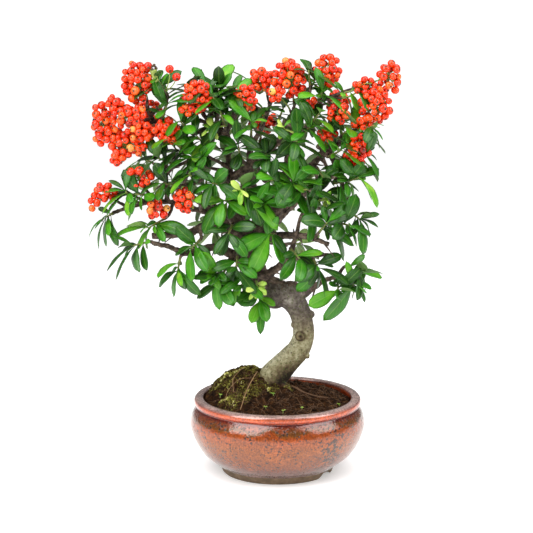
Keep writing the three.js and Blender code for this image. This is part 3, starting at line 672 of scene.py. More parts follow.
def soilTop(x, y):
    place = Vector((x, y, 0))
    fall = min(1, (soil["innerReach"] - math.hypot(x, y)) / 6)
    rough = 1.1 * noise.turbulence(place * 0.19, 3, True) + 0.75 * noise.noise(place * 0.62)
    return soilLevel(x, y) + (rough + 0.3 * noise.noise(place * 1.5)) * fall


def onSoil(x, y, rise=0):
    return Vector((x, y, soilTop(x, y) + rise))


def soilSpot(chance, widest):
    reach = widest * math.sqrt(chance.random())
    turn = chance.uniform(0, 2 * math.pi)
    return reach * math.cos(turn), reach * math.sin(turn)


def mossShare(x, y):
    lumpX, lumpY, lumpWidth, _ = soil["frontLump"]
    patches = [(lumpX, lumpY, lumpWidth * 1.3), *soil["footMoss"]]
    shares = [fade(math.hypot(x - px, y - py), reach) for px, py, reach in patches]
    patch = noise.noise(Vector((x * 0.15, y * 0.15, 4)))
    return max(moundShare(x, y, 1.05), *shares) + 0.45 * patch


def makeSoil():
    bag = newBag()
    rings, sides = soil["rings"], soil["sides"]
    points = [onSoil(0, 0)]
    for i in range(1, rings + 1):
        reach = soil["reach"] * i / rings
        for turn in turns(sides):
            points.append(onSoil(reach * math.cos(turn), reach * math.sin(turn)))
    body = [(60.6, 38.5), (55.6, 20.3), (44.8, 10.5), (4, 10.5)]
    for reach, level in body:
        points += [around(turn, reach, level) for turn in turns(sides)]
    rows = rings + len(body)
    faces = domeFaces(rows, sides)
    low = 1 + (rows - 1) * sides
    faces.append([low + k for k in range(sides)])
    addShape(bag, points, faces, 0, 0.4)
    chance = random.Random(31)
    for _ in range(soil["crumbs"]):
        x, y = soilSpot(chance, soil["crumbReach"])
        size = chance.uniform(0.5, 1.5)
        addLump(bag, onSoil(x, y, 0.1 * size), (size, size * 0.9, size * 0.7), chance)
    return makePiece("pottingSoil", bag, [peat], ["soil"])


def makeMoss():
    bag = newBag()
    chance = random.Random(47)
    made = 0
    while made < soil["mossTufts"]:
        x, y = chance.uniform(*soil["mossAcross"]), chance.uniform(*soil["mossAlong"])
        share = mossShare(x, y)
        if math.hypot(x, y) > soil["mossReach"] or chance.random() > (share - 0.36) * 1.9:
            continue
        made += 1
        size = chance.uniform(0.2, 0.5) * (1.5 if chance.random() < 0.06 else 1)
        place = onSoil(x, y, size * chance.uniform(0.1, 1.1))
        rim = noise.noise(Vector((x * 0.2, y * 0.2, 9)))
        tone = clamp(0.38 + 0.6 * rim + chance.uniform(-0.3, 0.3))
        addLump(bag, place, (size, size, size * chance.uniform(0.7, 1.3)), chance, 0, tone)
    for x, y, size in soil["crestCrumbs"]:
        for _ in range(5):
            drift = Vector([chance.uniform(-0.6, 0.6) * size for _ in range(3)])
            place = onSoil(x, y, size * 0.5) + drift
            addLump(bag, place, [size * chance.uniform(0.35, 0.75)] * 3, chance, 0, chance.uniform(0.6, 1))
    return makePiece("mossCushion", bag, [mossLeaf])


# Dead root threads that wander over the peat
def makeFibres():
    bag = newBag()
    chance = random.Random(53)
    for _ in range(soil["fibres"]):
        x, y = soilSpot(chance, soil["fibreReach"])
        heading = chance.uniform(0, 2 * math.pi)
        path = []
        rise = chance.uniform(0.3, 1.6)
        for k in range(chance.randint(5, 9)):
            if math.hypot(x, y) > 55:
                break
            lifted = rise * math.sin(k * 1.1 + heading)
            path.append(onSoil(x, y, 0.5 + lifted))
            heading += chance.uniform(-0.7, 0.7)
            x += soil["fibreStep"] * math.cos(heading)
            y += soil["fibreStep"] * math.sin(heading)
        if len(path) < 3:
            continue
        thick = chance.uniform(0.09, 0.17)
        radii = [thick * (1 - 0.5 * k / len(path)) for k in range(len(path))]
        addTube(bag, path, radii, 4, 0, chance.uniform(0.1, 0.62))
    return makePiece("rootFibres", bag, [dryFibre])


# Dead stalks: one leans from the foot of the trunk over the front lump, the others lie about it
def makeStalks():
    bag = newBag()
    for places, thick, tone in soil["stalks"]:
        addTaper(bag, places, 1.2 * thick, 0.8 * thick, 12, 6, 0, tone, 0.3)
    return makePiece("strawStalk", bag, [dryFibre])


def makeSprouts():
    bag = newBag()
    chance = random.Random(61)
    for x, y in soil["sprouts"]:
        foot = onSoil(x, y, -0.5)
        rise = Vector([chance.uniform(*reach) for reach in ((-0.8, 0.8), (-1, 0.3), (1.4, 2.6))])
        crown = foot + rise
        addTube(bag, [foot, (foot + crown) / 2, crown], [0.3, 0.28, 0.22], 5, 2, 0.9)
        for k in range(chance.randint(2, 4)):
            turn = k * goldenTurn + x
            out = around(turn, 1, 0.5) * chance.uniform(1.2, 2.2)
            leaf = {"base": crown, "tip": crown + out, "width": 1.3, "bulge": 0.25, "face": up}
            addLeaf(bag, leaf, 0.9)
    return makePiece("seedlings", bag, [leafTop, leafBack, shootSkin])


makeSoil()
makeMoss()
makeFibres()
makeStalks()
makeSprouts()


# The wood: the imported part's own paths, with finer rings and bark

print("wood")

trunk = {
    "path": [(-13, 1, 30), (-12, 0, 46), (-9, 0, 59), (-4, 0, 72), (7, 0, 85), (16, 0, 95), (20, 0, 106),
             (19, 0, 117), (16, 0, 127), (9, 1, 136), (-1, 2, 141), (-12, 3, 147), (-19, 3, 156),
             (-22, 3, 167), (-22, 2, 178)],
    "radii": [12, 13, 13, 11.5, 9.6, 8.8, 8.2, 8.1, 8.4, 9.6, 9, 8.6, 9, 9.5, 8],
    "voxelMm": 0.75,
    "ridgeMm": 0.5,
    "tones": [(62, 0.1), (71, 0.24), (80, 0.48), (92, 0.57), (106, 0.56), (116, 0.4), (126, 0.25),
              (136, 0.22)],
    "eye": (17.5, -8.2, 107.4),
    # A shallow pit with dark limb bark set in it as painted shade
    "shadedHole": (-8, -11.5, 77.3),
    "paleFace": (10, -10.5, 135.5),
    "faceReach": 7,
    # Painted shade: a darker patch on the lower right of the trunk's foot
    "footShade": (8, -9, 75),
    "footReach": 10,
    "eyeRing": 3.3,
    "eyePit": 1.5,
    "agedFrom": 108,
    "agedOver": 22,
    "oldFrom": 122,
    "oldOver": 26,
    "limbBarkFrom": 146,
    "limbShare": 0.34,
    "knobs": 26,
}

limbs = {
    "leftLow": ([(-24, 2, 163), (-47, -8, 176), (-67, -16, 173), (-82, -20, 179), (-94, -22, 182)],
                (3.4, 1.4)),
    "leftMid": ([(-25, 0, 180), (-37, -4, 189), (-55, -10, 192), (-68, -14, 188), (-94, -20, 187)],
                (4, 2.4)),
    "leftUp": ([(-26, 4, 186), (-38, 6, 199), (-61, 4, 203), (-85, 0, 210), (-110, -6, 207),
                (-125, -10, 202)], (4.4, 3.2, 2.4, 1.8, 1.4, 1)),
    "leftRise": ([(-83, 0, 209), (-84, 0, 221), (-86, 4, 252), (-91, 4, 268), (-101, 0, 281)],
                 (2.2, 1.1)),
    "centre": ([(-22, 2, 176), (-30, 8, 198), (-35, 10, 217), (-37, 12, 240), (-39, 14, 260),
                (-59, 8, 271)], (6.2, 4.6, 3.2, 2.4, 2, 1.3)),
    "centreFork": ([(-36, 10, 226), (-16, 2, 240), (2, -8, 259), (5, -12, 273)], (3.2, 1.4)),
    "upMid": ([(-20, 4, 174), (-15, 20, 196), (-19, 28, 218), (-21, 30, 245), (-12, 30, 262),
               (-2, 22, 292)], (4.8, 3.8, 2.9, 2.2, 1.7, 1.2)),
    "rightUp": ([(-20, 2, 174), (-7, 4, 190), (2, 8, 210), (8, 10, 236), (11, 10, 258), (17, 6, 276),
                 (35, 0, 287), (43, -3, 291)], (5.6, 5, 4.3, 3.5, 2.6, 2, 1.5, 1.1)),
    "right": ([(1, 8, 208), (17, 4, 226), (30, -2, 242), (50, -8, 258), (63, -10, 272)], (3.2, 1.4)),
    "rightMid": ([(-18, 2, 182), (5, -12, 186), (20, -20, 187), (38, -28, 182)], (3.6, 1.4)),
    "rightLowMid": ([(-16, 0, 150), (-4, -10, 158), (8, -16, 169), (11, -18, 178), (15, -20, 192)],
                    (3.6, 1.5)),
    "rightLowTwig": ([(7, -16, 168), (24, -20, 172), (41, -22, 173)], (2, 1.2)),
    "rightLow": ([(14, -2, 134), (27, -12, 146), (36, -18, 153), (45, -22, 155), (56, -26, 148)],
                 (2.8, 1.2)),
    "droop": ([(38, -5, 249), (46, -9, 232), (52, -16, 214), (55, -18, 206)], (2, 1.2)),
    "backLeft": ([(-22, 3, 172), (-40, 20, 190), (-62, 35, 205), (-84, 43, 216)], (4, 1.4)),
    "backRight": ([(-18, 4, 174), (4, 24, 196), (26, 37, 214), (50, 43, 226)], (4, 1.4)),
    "backMid": ([(-22, 4, 176), (-26, 28, 205), (-20, 46, 228), (-14, 53, 246)], (4, 1.4)),
    "backLow": ([(-20, 6, 160), (-18, 28, 168), (-8, 45, 170), (8, 53, 166)], (3, 1.2)),
}
stoutLimbs = ("leftLow", "leftMid", "leftUp", "centre", "upMid", "rightUp", "rightMid", "rightLowMid",
              "rightLow", "backLeft", "backRight", "backMid", "backLow")

roots = [
    ([(-6, -2, 68), (7, -7, 66), (16, -12, 60), (22, -17, 55)], (5, 1.6)),
    ([(-6, 6, 64), (2, 18, 60), (8, 30, 54)], (5, 1.8)),
]
bumps = [((10, -1, 138), 10.5), ((-2, -1, 137.5), 10), ((17, -5.5, 107), 3.6), ((25.5, -2, 123), 3),
         ((12, -3, 115), 2.1), ((-19, 0, 170), 10.5)]
stubs = [((14, -2, 92), (24.5, -5, 90.5), 3, 2), ((-20, -4, 158), (-24, -15, 161), 4, 3),
         ((-36, 10, 234), (-42, 4, 238), 2.6, 2)]
thorns = [
    ((34, -27, 183.5), (43, -32, 172)), ((20, -20, 187), (24, -31, 194)), ((30, -2, 242), (27, -15, 239)),
    ((-47, -8, 176), (-50, -21, 170)), ((-86, 4, 252), (-97, 0, 247)), ((8, 10, 236), (18, 5, 245)),
    ((-38, 13, 248), (-50, 8, 250)), ((45, -22, 155), (51, -18, 164)),
]
spurForm = {"root": 1.6, "twig": 1.15, "stalk": 0.9, "thorn": 0.9, "bareTwigs": 46}

curves = {name: [Vector(p) for p in path] for name, (path, _) in limbs.items()}
curves["trunk"] = [Vector(p) for p in trunk["path"]]


def nearestOn(name, place, samples=40):
    apart = [(limbPoint(curves[name], k / samples) - place).length for k in range(samples + 1)]
    k = min(range(samples + 1), key=lambda n: apart[n])
    return k, apart[k]


def spurRoot(name, place):
    k, _ = nearestOn(name, place)
    return limbPoint(curves[name], max(k - 3, 0) / 40)


# Where a shoot ends in wood, where it leaves its limb, and its heading
def shootFrame(row):
    seat = Vector(row["at"])
    root = spurRoot(row["limb"], seat)
    heading = Vector(row["toward"]).normalized() if "toward" in row else (seat - root).normalized()
    return seat, root, heading


def addSpur(bag, row, endRadius):
    seat, root, heading = shootFrame(row)
    reach = (seat - root).length
    path = bezierPath(root, root.lerp(seat, 0.3), seat - heading * (0.35 * reach), seat, 7)
    addTube(bag, path, taper(spurForm["root"], endRadius, 7), 7, 0, 0.3, 0.35)


# Trunk, knuckles and the first stretch of each limb grow together in one skin
def makeTrunk():
    bag = newBag()
    steps = 70
    addTube(bag, smoothPath(trunk["path"], steps), radiiThrough(trunk["radii"], steps), 28)
    for name in stoutLimbs:
        radii = limbs[name][1]
        shares = [trunk["limbShare"] * k / 12 for k in range(13)]
        thick = [radiusThrough(radii, s) * (1 + 0.5 * (1 - s / trunk["limbShare"]) ** 2) for s in shares]
        addTube(bag, [limbPoint(curves[name], s) for s in shares], thick, 12)
    for places, radii in roots:
        addTube(bag, smoothPath(places, 14), radiiThrough(radii, 14), 10)
    for start, end, wide, narrow in stubs:
        addTaper(bag, [start, end], wide, narrow, 4, 12)
    chance = random.Random(7)
    for place, radius in bumps:
        points, faces = ballShape(3, radius * 1.04)
        addShape(bag, [Vector(place) + point for point in points], faces, 0, 0.5)
    for _ in range(trunk["knobs"]):
        share = chance.uniform(0.72, 1)
        turn = chance.uniform(0, 2 * math.pi)
        radius = radiusThrough(trunk["radii"], share)
        place = limbPoint(curves["trunk"], share) + around(turn) * radius
        addLump(bag, place, [chance.uniform(2, 4)] * 3, chance)
    piece = makePiece("barkTrunk", bag, [trunkBark, limbBark], ["wood"])
    skin = piece.modifiers.new("skin", "REMESH")
    skin.mode = "VOXEL"
    skin.voxel_size = trunk["voxelMm"] * metresPerMm
    soften = piece.modifiers.new("soften", "SMOOTH")
    soften.factor = 0.5
    soften.iterations = 5
    graph = bpy.context.evaluated_depsgraph_get()
    grown = bpy.data.meshes.new_from_object(piece.evaluated_get(graph))
    piece.modifiers.clear()
    piece.data = grown
    growth = grown.attributes.new("growth", "FLOAT_VECTOR", "POINT")
    eye, hole, face, foot = [Vector(trunk[key]) for key in ("eye", "shadedHole", "paleFace", "footShade")]
    # All normals are read before the first point moves, or each read works them all out again
    normals = [vertex.normal.copy() for vertex in grown.vertices]
    tones = trunk["tones"]
    for k, (vertex, normal) in enumerate(zip(grown.vertices, normals)):
        place = (vertex.co - potAxis) / metresPerMm
        step = next((n for n in range(1, len(tones) - 1) if place.z < tones[n][0]), len(tones) - 1)
        (low, lowTone), (high, highTone) = tones[step - 1], tones[step]
        tone = mix(lowTone, highTone, clamp((place.z - low) / (high - low)))
        # Painted light and shade: paler where the bark faces up, darker underneath and on its right side
        tone += 0.12 * noise.noise(place * 0.11) + 0.14 * normal.z - 0.12 * normal.x
        fromEye = (place - eye).length
        tone += 0.3 * fade((place - face).length, trunk["faceReach"])
        # Darker on the eye's raised ring, and much darker in its sunken pit as painted shade
        tone -= 0.4 * fade(fromEye - trunk["eyeRing"], 0.9) + 0.9 * fade(fromEye, trunk["eyePit"])
        # Painted shade, darker on the lower right of the foot
        tone -= 0.34 * fade((place - foot).length, trunk["footReach"])
        aged = clamp((place.z - trunk["agedFrom"]) / trunk["agedOver"])
        growth.data[k].vector = (aged, 0, tone)
        old = clamp((place.z - trunk["oldFrom"]) / trunk["oldOver"])
        stretched = Vector((place.x, place.y, place.z * 0.3))
        ridge = noise.fractal(stretched * 0.32, 0.9, 2.1, 4) * mix(0.35, 0.9, old)
        fine = noise.noise(place * 0.9) * 0.16
        ring = 0.9 * fade(fromEye - trunk["eyeRing"], 1) - 1.5 * fade(fromEye, trunk["eyePit"])
        pit = -1.6 * fade((place - hole).length, 1.3)
        vertex.co += normal * (ridge * trunk["ridgeMm"] + fine + ring + pit) * metresPerMm
    for polygon in grown.polygons:
        middle = (polygon.center - potAxis) / metresPerMm
        edge = trunk["limbBarkFrom"] + 5 * noise.noise(middle * 0.12) + 3 * noise.noise(middle * 0.4)
        # Limb bark above a wavy height, and in the small pit as painted shade
        polygon.material_index = 1 if middle.z > edge or (middle - hole).length < 1.2 else 0
        polygon.use_smooth = True
    return piece


def makeLimbs():
    bag = newBag()
    for places, radii in limbs.values():
        steps = 9 * len(places)
        addTube(bag, smoothPath(places, steps), radiiThrough(radii, steps), 10, 0, 0.2, 0.42)
    for row in allSprays:
        addSpur(bag, row, spurForm["twig"])
    for row in allBunches:
        addSpur(bag, row, spurForm["stalk"])
    for root, tip in thorns:
        addTaper(bag, [root, tip], spurForm["thorn"], 0.1 * spurForm["thorn"], 5, 6, 0, 0.3)
    # Bare side twigs and old thorns, seeded, all along the limbs
    chance = random.Random(83)
    names = list(limbs)
    for k in range(spurForm["bareTwigs"]):
        name = names[k % len(names)]
        share = chance.uniform(0.25, 0.95)
        root = limbPoint(curves[name], share)
        out = Vector([chance.uniform(-1, 1) for _ in range(3)]).normalized()
        out = (out + (root - crownMiddle).normalized() * 0.4).normalized()
        reach = chance.uniform(6, 15)
        bend = root + out * reach * 0.5 + Vector([chance.uniform(-1, 1) for _ in range(3)])
        addTaper(bag, [root, bend, root + out * reach], 1.1, 0.25, 6, 5, 0, 0.25, 0.3)
    return makePiece("barkLimbs", bag, [limbBark], ["wood"])


# Leafy sprays: a green twig with the part's leaves on it, and more leaves between them

sprayFields = ("name", "limb", "at", "toward", "run", "leaves", "tips")
sprays = [dict(zip(sprayFields, row)) for row in (
    ("left_low_tip", "leftLow", (-97, -23, 183), (-1, -0.3, -0.2), 12, 2,
     [(-128, -26, 161, 7), (-121, -29, 155, 7), (-103, -29, 161, 14)]),
    ("left_low", "leftLow", (-73, -22, 171), (-0.2, -0.3, -1), 10, 3,
     [(-78, -24, 141, 8), (-69, -25, 147, 9)]),
    ("trunk_left", "leftLow", (-42, -18, 162), (-0.5, -0.7, -0.5), 9, 3,
     [(-58, -34, 178, 13), (-60, -30, 156, 12)]),
    ("left_up_mid", "leftUp", (-85, -14, 199), (-0.8, -0.4, -0.4), 14, 3,
     [(-122, -20, 186, 10), (-104, -26, 178, 11), (-66, -28, 190, 11)]),
    ("left_up_tip", "leftUp", (-124, -12, 203), (-0.7, -0.5, -0.4), 6, 1,
     [(-134, -20, 177, 7), (-137, -18, 192, 6), (-119, -24, 180, 9)]),
    ("left_up_under", "leftUp", (-110, -14, 214), (-0.3, -0.5, 0.6), 10, 2,
     [(-129, -20, 220, 8), (-131, -22, 204, 9)]),
    ("left_front", "leftUp", (-37, -18, 213), (-0.3, -0.9, 0.2), 10, 3,
     [(-55, -32, 190, 13), (-63, -28, 215, 10)]),
    ("left_up_back", "leftUp", (-76, 24, 216), (-0.4, 0.8, 0.4), 14, 5, []),
    ("centre_left", "centre", (-54, -4, 246), (-0.7, -0.5, 0.5), 12, 4,
     [(-78, -10, 240, 11), (-60, -26, 227, 10)]),
    ("rise_top", "leftRise", (-86, -3, 274), (0.3, -0.4, 0.9), 12, 4,
     [(-66, -8, 292, 10), (-92, -6, 303, 8)]),
    ("centre_top", "centre", (-63, 16, 274), (0, 0.1, 1), 16, 4, [(-57, 10, 309, 8)]),
    ("centre_tip", "centre", (-46, 6, 285), (0.3, -0.3, 1), 12, 4,
     [(-30, -12, 277, 9), (-44, -6, 313, 9), (-34, -4, 307, 7)]),
    ("mid_top_back", "upMid", (-24, 42, 271), (-0.4, 0.7, 0.6), 12, 5, []),
    ("top_right", "rightUp", (24, -6, 299), (-0.1, -0.4, 1), 12, 0,
     [(45, -16, 296, 10), (18, 4, 317, 9)]),
    ("right_up_back", "rightUp", (20, 32, 262), (0.3, 0.8, 0.3), 12, 5, []),
    ("right_up_tip", "rightUp", (47, -5, 292), (1, -0.3, 0.3), 12, 2, [(70, -14, 301, 9)]),
    ("right_tip", "right", (66, -11, 272), (0.3, -0.5, -0.3), 7, 2, [(78, -18, 259, 7)]),
    ("right_droop", "droop", (52, -17, 228), (0.6, -0.6, 0.3), 12, 1,
     [(70, -20, 214, 8), (66, -18, 240, 8), (46, -26, 246, 10)]),
    ("right_droop_tip", "droop", (57, -19, 203), (0.7, -0.4, -0.5), 6, 1,
     [(76, -22, 204, 8), (75, -24, 194, 8), (64, -28, 186, 8), (52, -27, 187, 7)]),
    ("right_inner", "right", (30, -14, 237), (0.3, -0.8, -0.4), 12, 4, [(46, -24, 239, 12)]),
    ("right_mid", "rightMid", (31, -30, 192), (0.4, -0.5, 0.6), 12, 4,
     [(49, -31, 170, 11), (52, -30, 205, 10)]),
    ("back_low", "backLow", (11, 57, 167), (0.6, 0.5, -0.1), 10, 5, []),
    ("front_mid", "rightMid", (-3, -22, 189), (-0.3, -0.8, 0.2), 9, 2,
     [(-20, -32, 161, 13), (4, -34, 168, 9)]),
    ("front_up", "rightUp", (10, -16, 222), (0.1, -0.8, 0.5), 12, 4,
     [(12, -20, 251, 10), (20, -28, 221, 12)]),
    ("fork_mid", "centreFork", (-24, -18, 224), (0, -1, -0.2), 9, 3,
     [(-12, -36, 197, 13), (7, -34, 222, 11), (0, -37, 194, 11)]),
    ("right_low_twig", "rightLowTwig", (27, -26, 170), (0.3, -0.6, -0.5), 8, 2,
     [(14, -31, 147, 11), (37, -31, 138, 8), (48, -30, 174, 9)]),
    ("right_low_tip", "rightLow", (56, -27, 150), (0, -0.6, 0.4), 6, 1,
     [(34, -33, 125, 14), (70, -34, 149, 9), (65, -34, 139, 8)]),
    ("right_low", "rightLow", (45, -28, 152), (0, -0.6, -0.4), 6, 1,
     [(23, -32, 136, 11), (46, -36, 141, 12), (62, -36, 166, 9)]),
    ("trunk_front", "trunk", (-15, -18, 146), (0.15, -0.4, -0.9), 9, 0,
     [(-20, -28, 122, 9), (-13, -27, 113, 7), (-8, -29, 123, 10), (-31, -30, 139, 13)]),
    ("back_left_tip", "backLeft", (-88, 45, 219), (-0.7, 0.4, 0.4), 12, 5, []),
    ("back_left", "backLeft", (-56, 45, 213), (0.1, 0.7, 0.7), 12, 5, []),
    ("back_mid", "backMid", (-20, 60, 230), (-0.2, 0.9, 0.2), 10, 5, []),
    ("back_right_tip", "backRight", (54, 44, 229), (0.8, 0.4, 0.4), 12, 5, []),
    ("back_right", "backRight", (22, 50, 214), (-0.1, 0.8, 0.4), 12, 5, []),
)]

# Further sprays that only the finished look has, set between the part's own. Pale ones are young.
betweenSprays = {
    "leaves_between_left": [(-96, -14, 217), (-54, -6, 253), (-68, 2, 244), (-83, 2, 292), (-66, -8, 264),
                            (-58, -16, 230), (-75, -12, 224), (-43, -20, 226), (-70, 30, 240),
                            (-95, 22, 236), (-72, -10, 252), (-80, -8, 240), (-56, -12, 240)],
    "leaves_between_top": [(-50, 0, 286), (-42, 2, 284), (-31, -6, 281), (-45, -9, 281), (-62, 10, 286),
                           (-20, 14, 288), (22, 8, 290), (27, -6, 284), (-40, -10, 270), (-48, 12, 262)],
    "leaves_between_middle": [(-33, -2, 283), (-12, 8, 268), (12, 10, 280), (-20, -12, 262),
                              (8, -18, 252), (-14, -20, 214), (-30, 44, 258), (8, 44, 246),
                              (-34, -24, 196), (-2, 60, 204), (-28, -12, 246), (-8, -14, 238),
                              (18, -14, 262), (0, 6, 270), (-12, -14, 242), (-8, -20, 228)],
    "leaves_between_right": [(56, -10, 244), (21, -20, 205), (15, -22, 222), (30, -10, 254),
                             (26, -14, 218), (36, 34, 252), (58, 28, 250), (42, -14, 226),
                             (44, -24, 198), (34, 50, 196), (38, -14, 246), (24, -12, 270),
                             (48, -10, 262)],
    "leaves_between_low": [(52, -22, 164), (-40, -16, 160), (-30, -22, 172), (-58, -20, 184),
                           (-44, 24, 188), (10, -26, 178), (-26, -20, 160)],
    "young_shoots": [(2, -16, 264), (-27, -28, 223), (-62, -16, 214), (-16, -26, 154), (31, -20, 214),
                     (-46, -10, 262)],
    "leaves_between_back": [(-20, 38, 215), (12, 40, 225), (30, 36, 236), (-38, 34, 236), (2, 42, 252),
                            (26, 34, 206), (-10, 36, 196), (-50, 30, 206), (46, 34, 262)],
}

leafForm = {"length": 30, "widthShare": 0.34, "fine": 0.87, "extraLeaves": 5, "extraShare": 0.74,
            "lowSpread": 82, "highSpread": 42, "hang": 0.35}


def leafFace(base, tip):
    return up + (base.lerp(tip, 0.5) - crownMiddle).normalized() * 0.9


def ruleLeaf(draw, onTwig, frameOf, along, turn, scale=1.0):
    heading, side, over = frameOf
    spread = math.radians(mix(leafForm["lowSpread"], leafForm["highSpread"], along) + 20 * draw())
    length = leafForm["length"] * (0.72 + 0.36 * draw()) * scale * leafForm["fine"]
    width = length * leafForm["widthShare"] * (0.86 + 0.55 * draw())
    hang = leafForm["hang"] * (0.4 + draw())
    bulge = length * (0.05 + 0.1 * draw())
    run = (heading * math.cos(spread) + side * (math.sin(spread) * math.cos(turn))
           + over * (math.sin(spread) * math.sin(turn)) - up * hang).normalized()
    base = onTwig(along)
    return {"base": base, "tip": base + run * length, "width": width, "bulge": bulge}


def sprayLeaves(row, number, extra):
    draw = makeDraw(number * 7919 + 11)
    seat, _, heading = shootFrame(row)
    side = heading.cross(up).normalized()
    over = side.cross(heading).normalized()

    def onTwig(along):
        return seat + heading * (clearance + row["run"] * along)

    found = []
    for k, (x, y, z, width) in enumerate(row["tips"]):
        base = onTwig(0.95 - 0.5 * (k / len(row["tips"])))
        tip = Vector((x, y, z))
        found.append({"base": base, "tip": tip, "width": width,
                      "bulge": (tip - base).length * (0.06 + 0.08 * draw())})
    for i in range(row["leaves"]):
        turn = i * goldenTurn + 0.7 * draw() + number
        along = 0.2 + 0.78 * ((i + 1) / row["leaves"])
        found.append(ruleLeaf(draw, onTwig, (heading, side, over), along, turn, row.get("scale", 1)))
    more = makeDraw(number * 5237 + 29)
    for i in range(extra):
        turn = (i + 0.5) * goldenTurn + 1.4 * more() + number
        along = 0.05 + 0.95 * more()
        scale = leafForm["extraShare"] * (0.6 + 0.5 * more()) * row.get("scale", 1)
        found.append(ruleLeaf(more, onTwig, (heading, side, over), along, turn, scale))
    for leaf in found:
        leaf["face"] = leafFace(leaf["base"], leaf["tip"])
        # One that stands straight up in front turns its upper side outward
        if (leaf["tip"] - leaf["base"]).normalized().z > 0.6 and leaf["base"].y < 10:
            leaf["face"] = leaf["face"] + Vector((0, -2, 0))
    return found


def addSpray(bag, row, number, extra, pale=0.0):
    seat, _, heading = shootFrame(row)
    twig = [seat + heading * (row["run"] * k / 4) for k in range(5)]
    addTube(bag, twig, taper(1.1, 0.55, 4), 6, 2, 0.6 + 0.3 * pale, 0.2)
    chance = random.Random(number * 17 + 3)
    sprayTone = chance.uniform(0.2, 0.58)
    for leaf in sprayLeaves(row, number, extra):
        tone = clamp(sprayTone + chance.gauss(0, 0.17) + 0.5 * pale, 0.02, 0.76 + 0.24 * pale)
        addLeaf(bag, leaf, tone, chance.uniform(0, 1), chance.uniform(0.12, 0.34))


# A spray between the others stands on the nearest limb and points away from the crown's middle
def betweenRow(place, pale):
    seat = Vector(place)
    limb = min(limbs, key=lambda name: nearestOn(name, seat, 20)[1])
    toward = (seat - crownMiddle).normalized() + Vector((0, -0.25 if seat.y < 10 else 0.25, 0.25))
    return {"limb": limb, "at": place, "toward": tuple(toward), "run": 6 if pale else 12,
            "leaves": 5, "tips": [], "scale": 0.5 if pale else 0.92}


# Berry bunches: the part's own berries, more of them between, each on its thin stalk

bunchFields = ("limb", "at", "middle", "radii", "more", "unripe", "berries", "name")
bunches = [dict(zip(bunchFields, row)) for row in (
    ("leftRise", (-98, 0, 289), (-105, -4, 300), (12.5, 10, 17), 44, 0.02, 14, "left_top"),
    ("leftRise", (-114, -4, 274), (-132, -8, 270), (8, 8, 18), 28, 0.02, 13, "left_side"),
    ("leftRise", (-102, -5, 271), (-111, -12, 276), (16, 9, 10), 44, 0.06, 13, "left_face"),
    ("leftRise", (-94, 12, 266), (-97, 22, 275), (11, 10, 11), 12, 0.02, 9, "left_back"),
    ("leftRise", (-104, -3, 253), (-112, -10, 255), (15, 9, 11), 44, 0.06, 12, "left_lower"),
    ("leftUp", (-102, -10, 224), (-104, -15, 231), (13, 8, 9), 5, 0.02, 8, "left_loose"),
    ("leftUp", (-121, -11, 212), (-129, -14, 219), (9, 7, 9), 5, 0.02, 6, "left_far_loose"),
    ("leftUp", (-70, -14, 209), (-70, -25, 215), (9, 8, 11), 6, 0.02, 8, "front_left"),
    ("leftUp", (-90, -12, 210), (-89, -25, 208), (10, 7, 9), 5, 0.3, 6, "front_left_loose"),
    ("centre", (-57, -2, 277), (-60, -11, 291), (13, 9, 13), 22, 0.02, 13, "centre_left"),
    ("upMid", (-19, 6, 277), (-24, -10, 289), (9, 8, 12), 14, 0.02, 9, "mid_left"),
    ("upMid", (-8, 8, 290), (-12, -2, 303), (10, 9, 10), 13, 0.02, 9, "mid_top"),
    ("rightUp", (12, 2, 286), (8, -6, 303), (14, 11, 16.5), 46, 0.02, 16, "top_large"),
    ("rightUp", (33, 0, 297), (37, -2, 309), (12, 9, 14), 32, 0.02, 13, "top_right"),
    ("rightUp", (41, -6, 284), (45, -14, 279), (10, 8, 9), 14, 0.02, 8, "right_over"),
    ("rightUp", (38, 13, 283), (46, 25, 283), (10, 10, 10), 10, 0.02, 8, "right_back"),
    ("right", (52, -12, 256), (59, -16, 251), (11, 8, 14), 24, 0.02, 11, "right_low"),
    ("right", (66, -6, 277), (72, -14, 284), (14, 9, 15), 46, 0.02, 14, "right_side"),
    ("rightUp", (62, -4, 298), (83, -9, 305), (10, 8, 14), 8, 0.02, 11, "right_far_loose"),
    ("backMid", (-13, 57, 251), (-12, 57, 264), (12, 10, 11), 12, 0.02, 10, "back_mid"),
    ("leftRise", (-84, -5, 262), (-82, -12, 266), (11, 8, 11), 20, 0.02, 9, "left_inner"),
)]

# Smaller bunches between those, only in the finished look
betweenBunches = [dict(zip(bunchFields, row)) for row in (
    ("leftRise", (-108, -5, 258), (-119, -9, 244), (7, 6, 6), 10, 0.02),
    ("leftRise", (-94, -4, 264), (-122, -9, 285), (8, 7, 7), 12, 0.02),
    ("leftRise", (-92, -2, 262), (-101, -14, 264), (13, 7, 8), 24, 0.02),
    ("leftRise", (-108, -5, 262), (-124, -10, 262), (8, 7, 9), 16, 0.02),
    ("centre", (-60, -2, 272), (-66, -14, 281), (9, 6, 6), 9, 0.02),
    ("rightUp", (9, -2, 280), (-1, -14, 293), (8, 6, 6), 9, 0.02),
    ("right", (40, -6, 256), (37, -13, 263), (8, 6, 6), 8, 0.02),
    ("right", (61, -9, 266), (62, -15, 270), (9, 6, 7), 11, 0.02),
    ("rightUp", (48, -5, 289), (66, -9, 298), (11, 7, 8), 14, 0.02),
    ("rightUp", (20, 2, 286), (25, -8, 286), (5, 4, 6), 4, 0.02),
    ("leftUp", (-108, -10, 216), (-137, -14, 212), (5, 4, 9), 4, 0.5),
)]
berryForm.update({"radius": 3.6, "ripeShare": 0.92, "smallest": 2.4, "largest": 3.4, "nearest": 0.82,
                  "withered": 0.014})


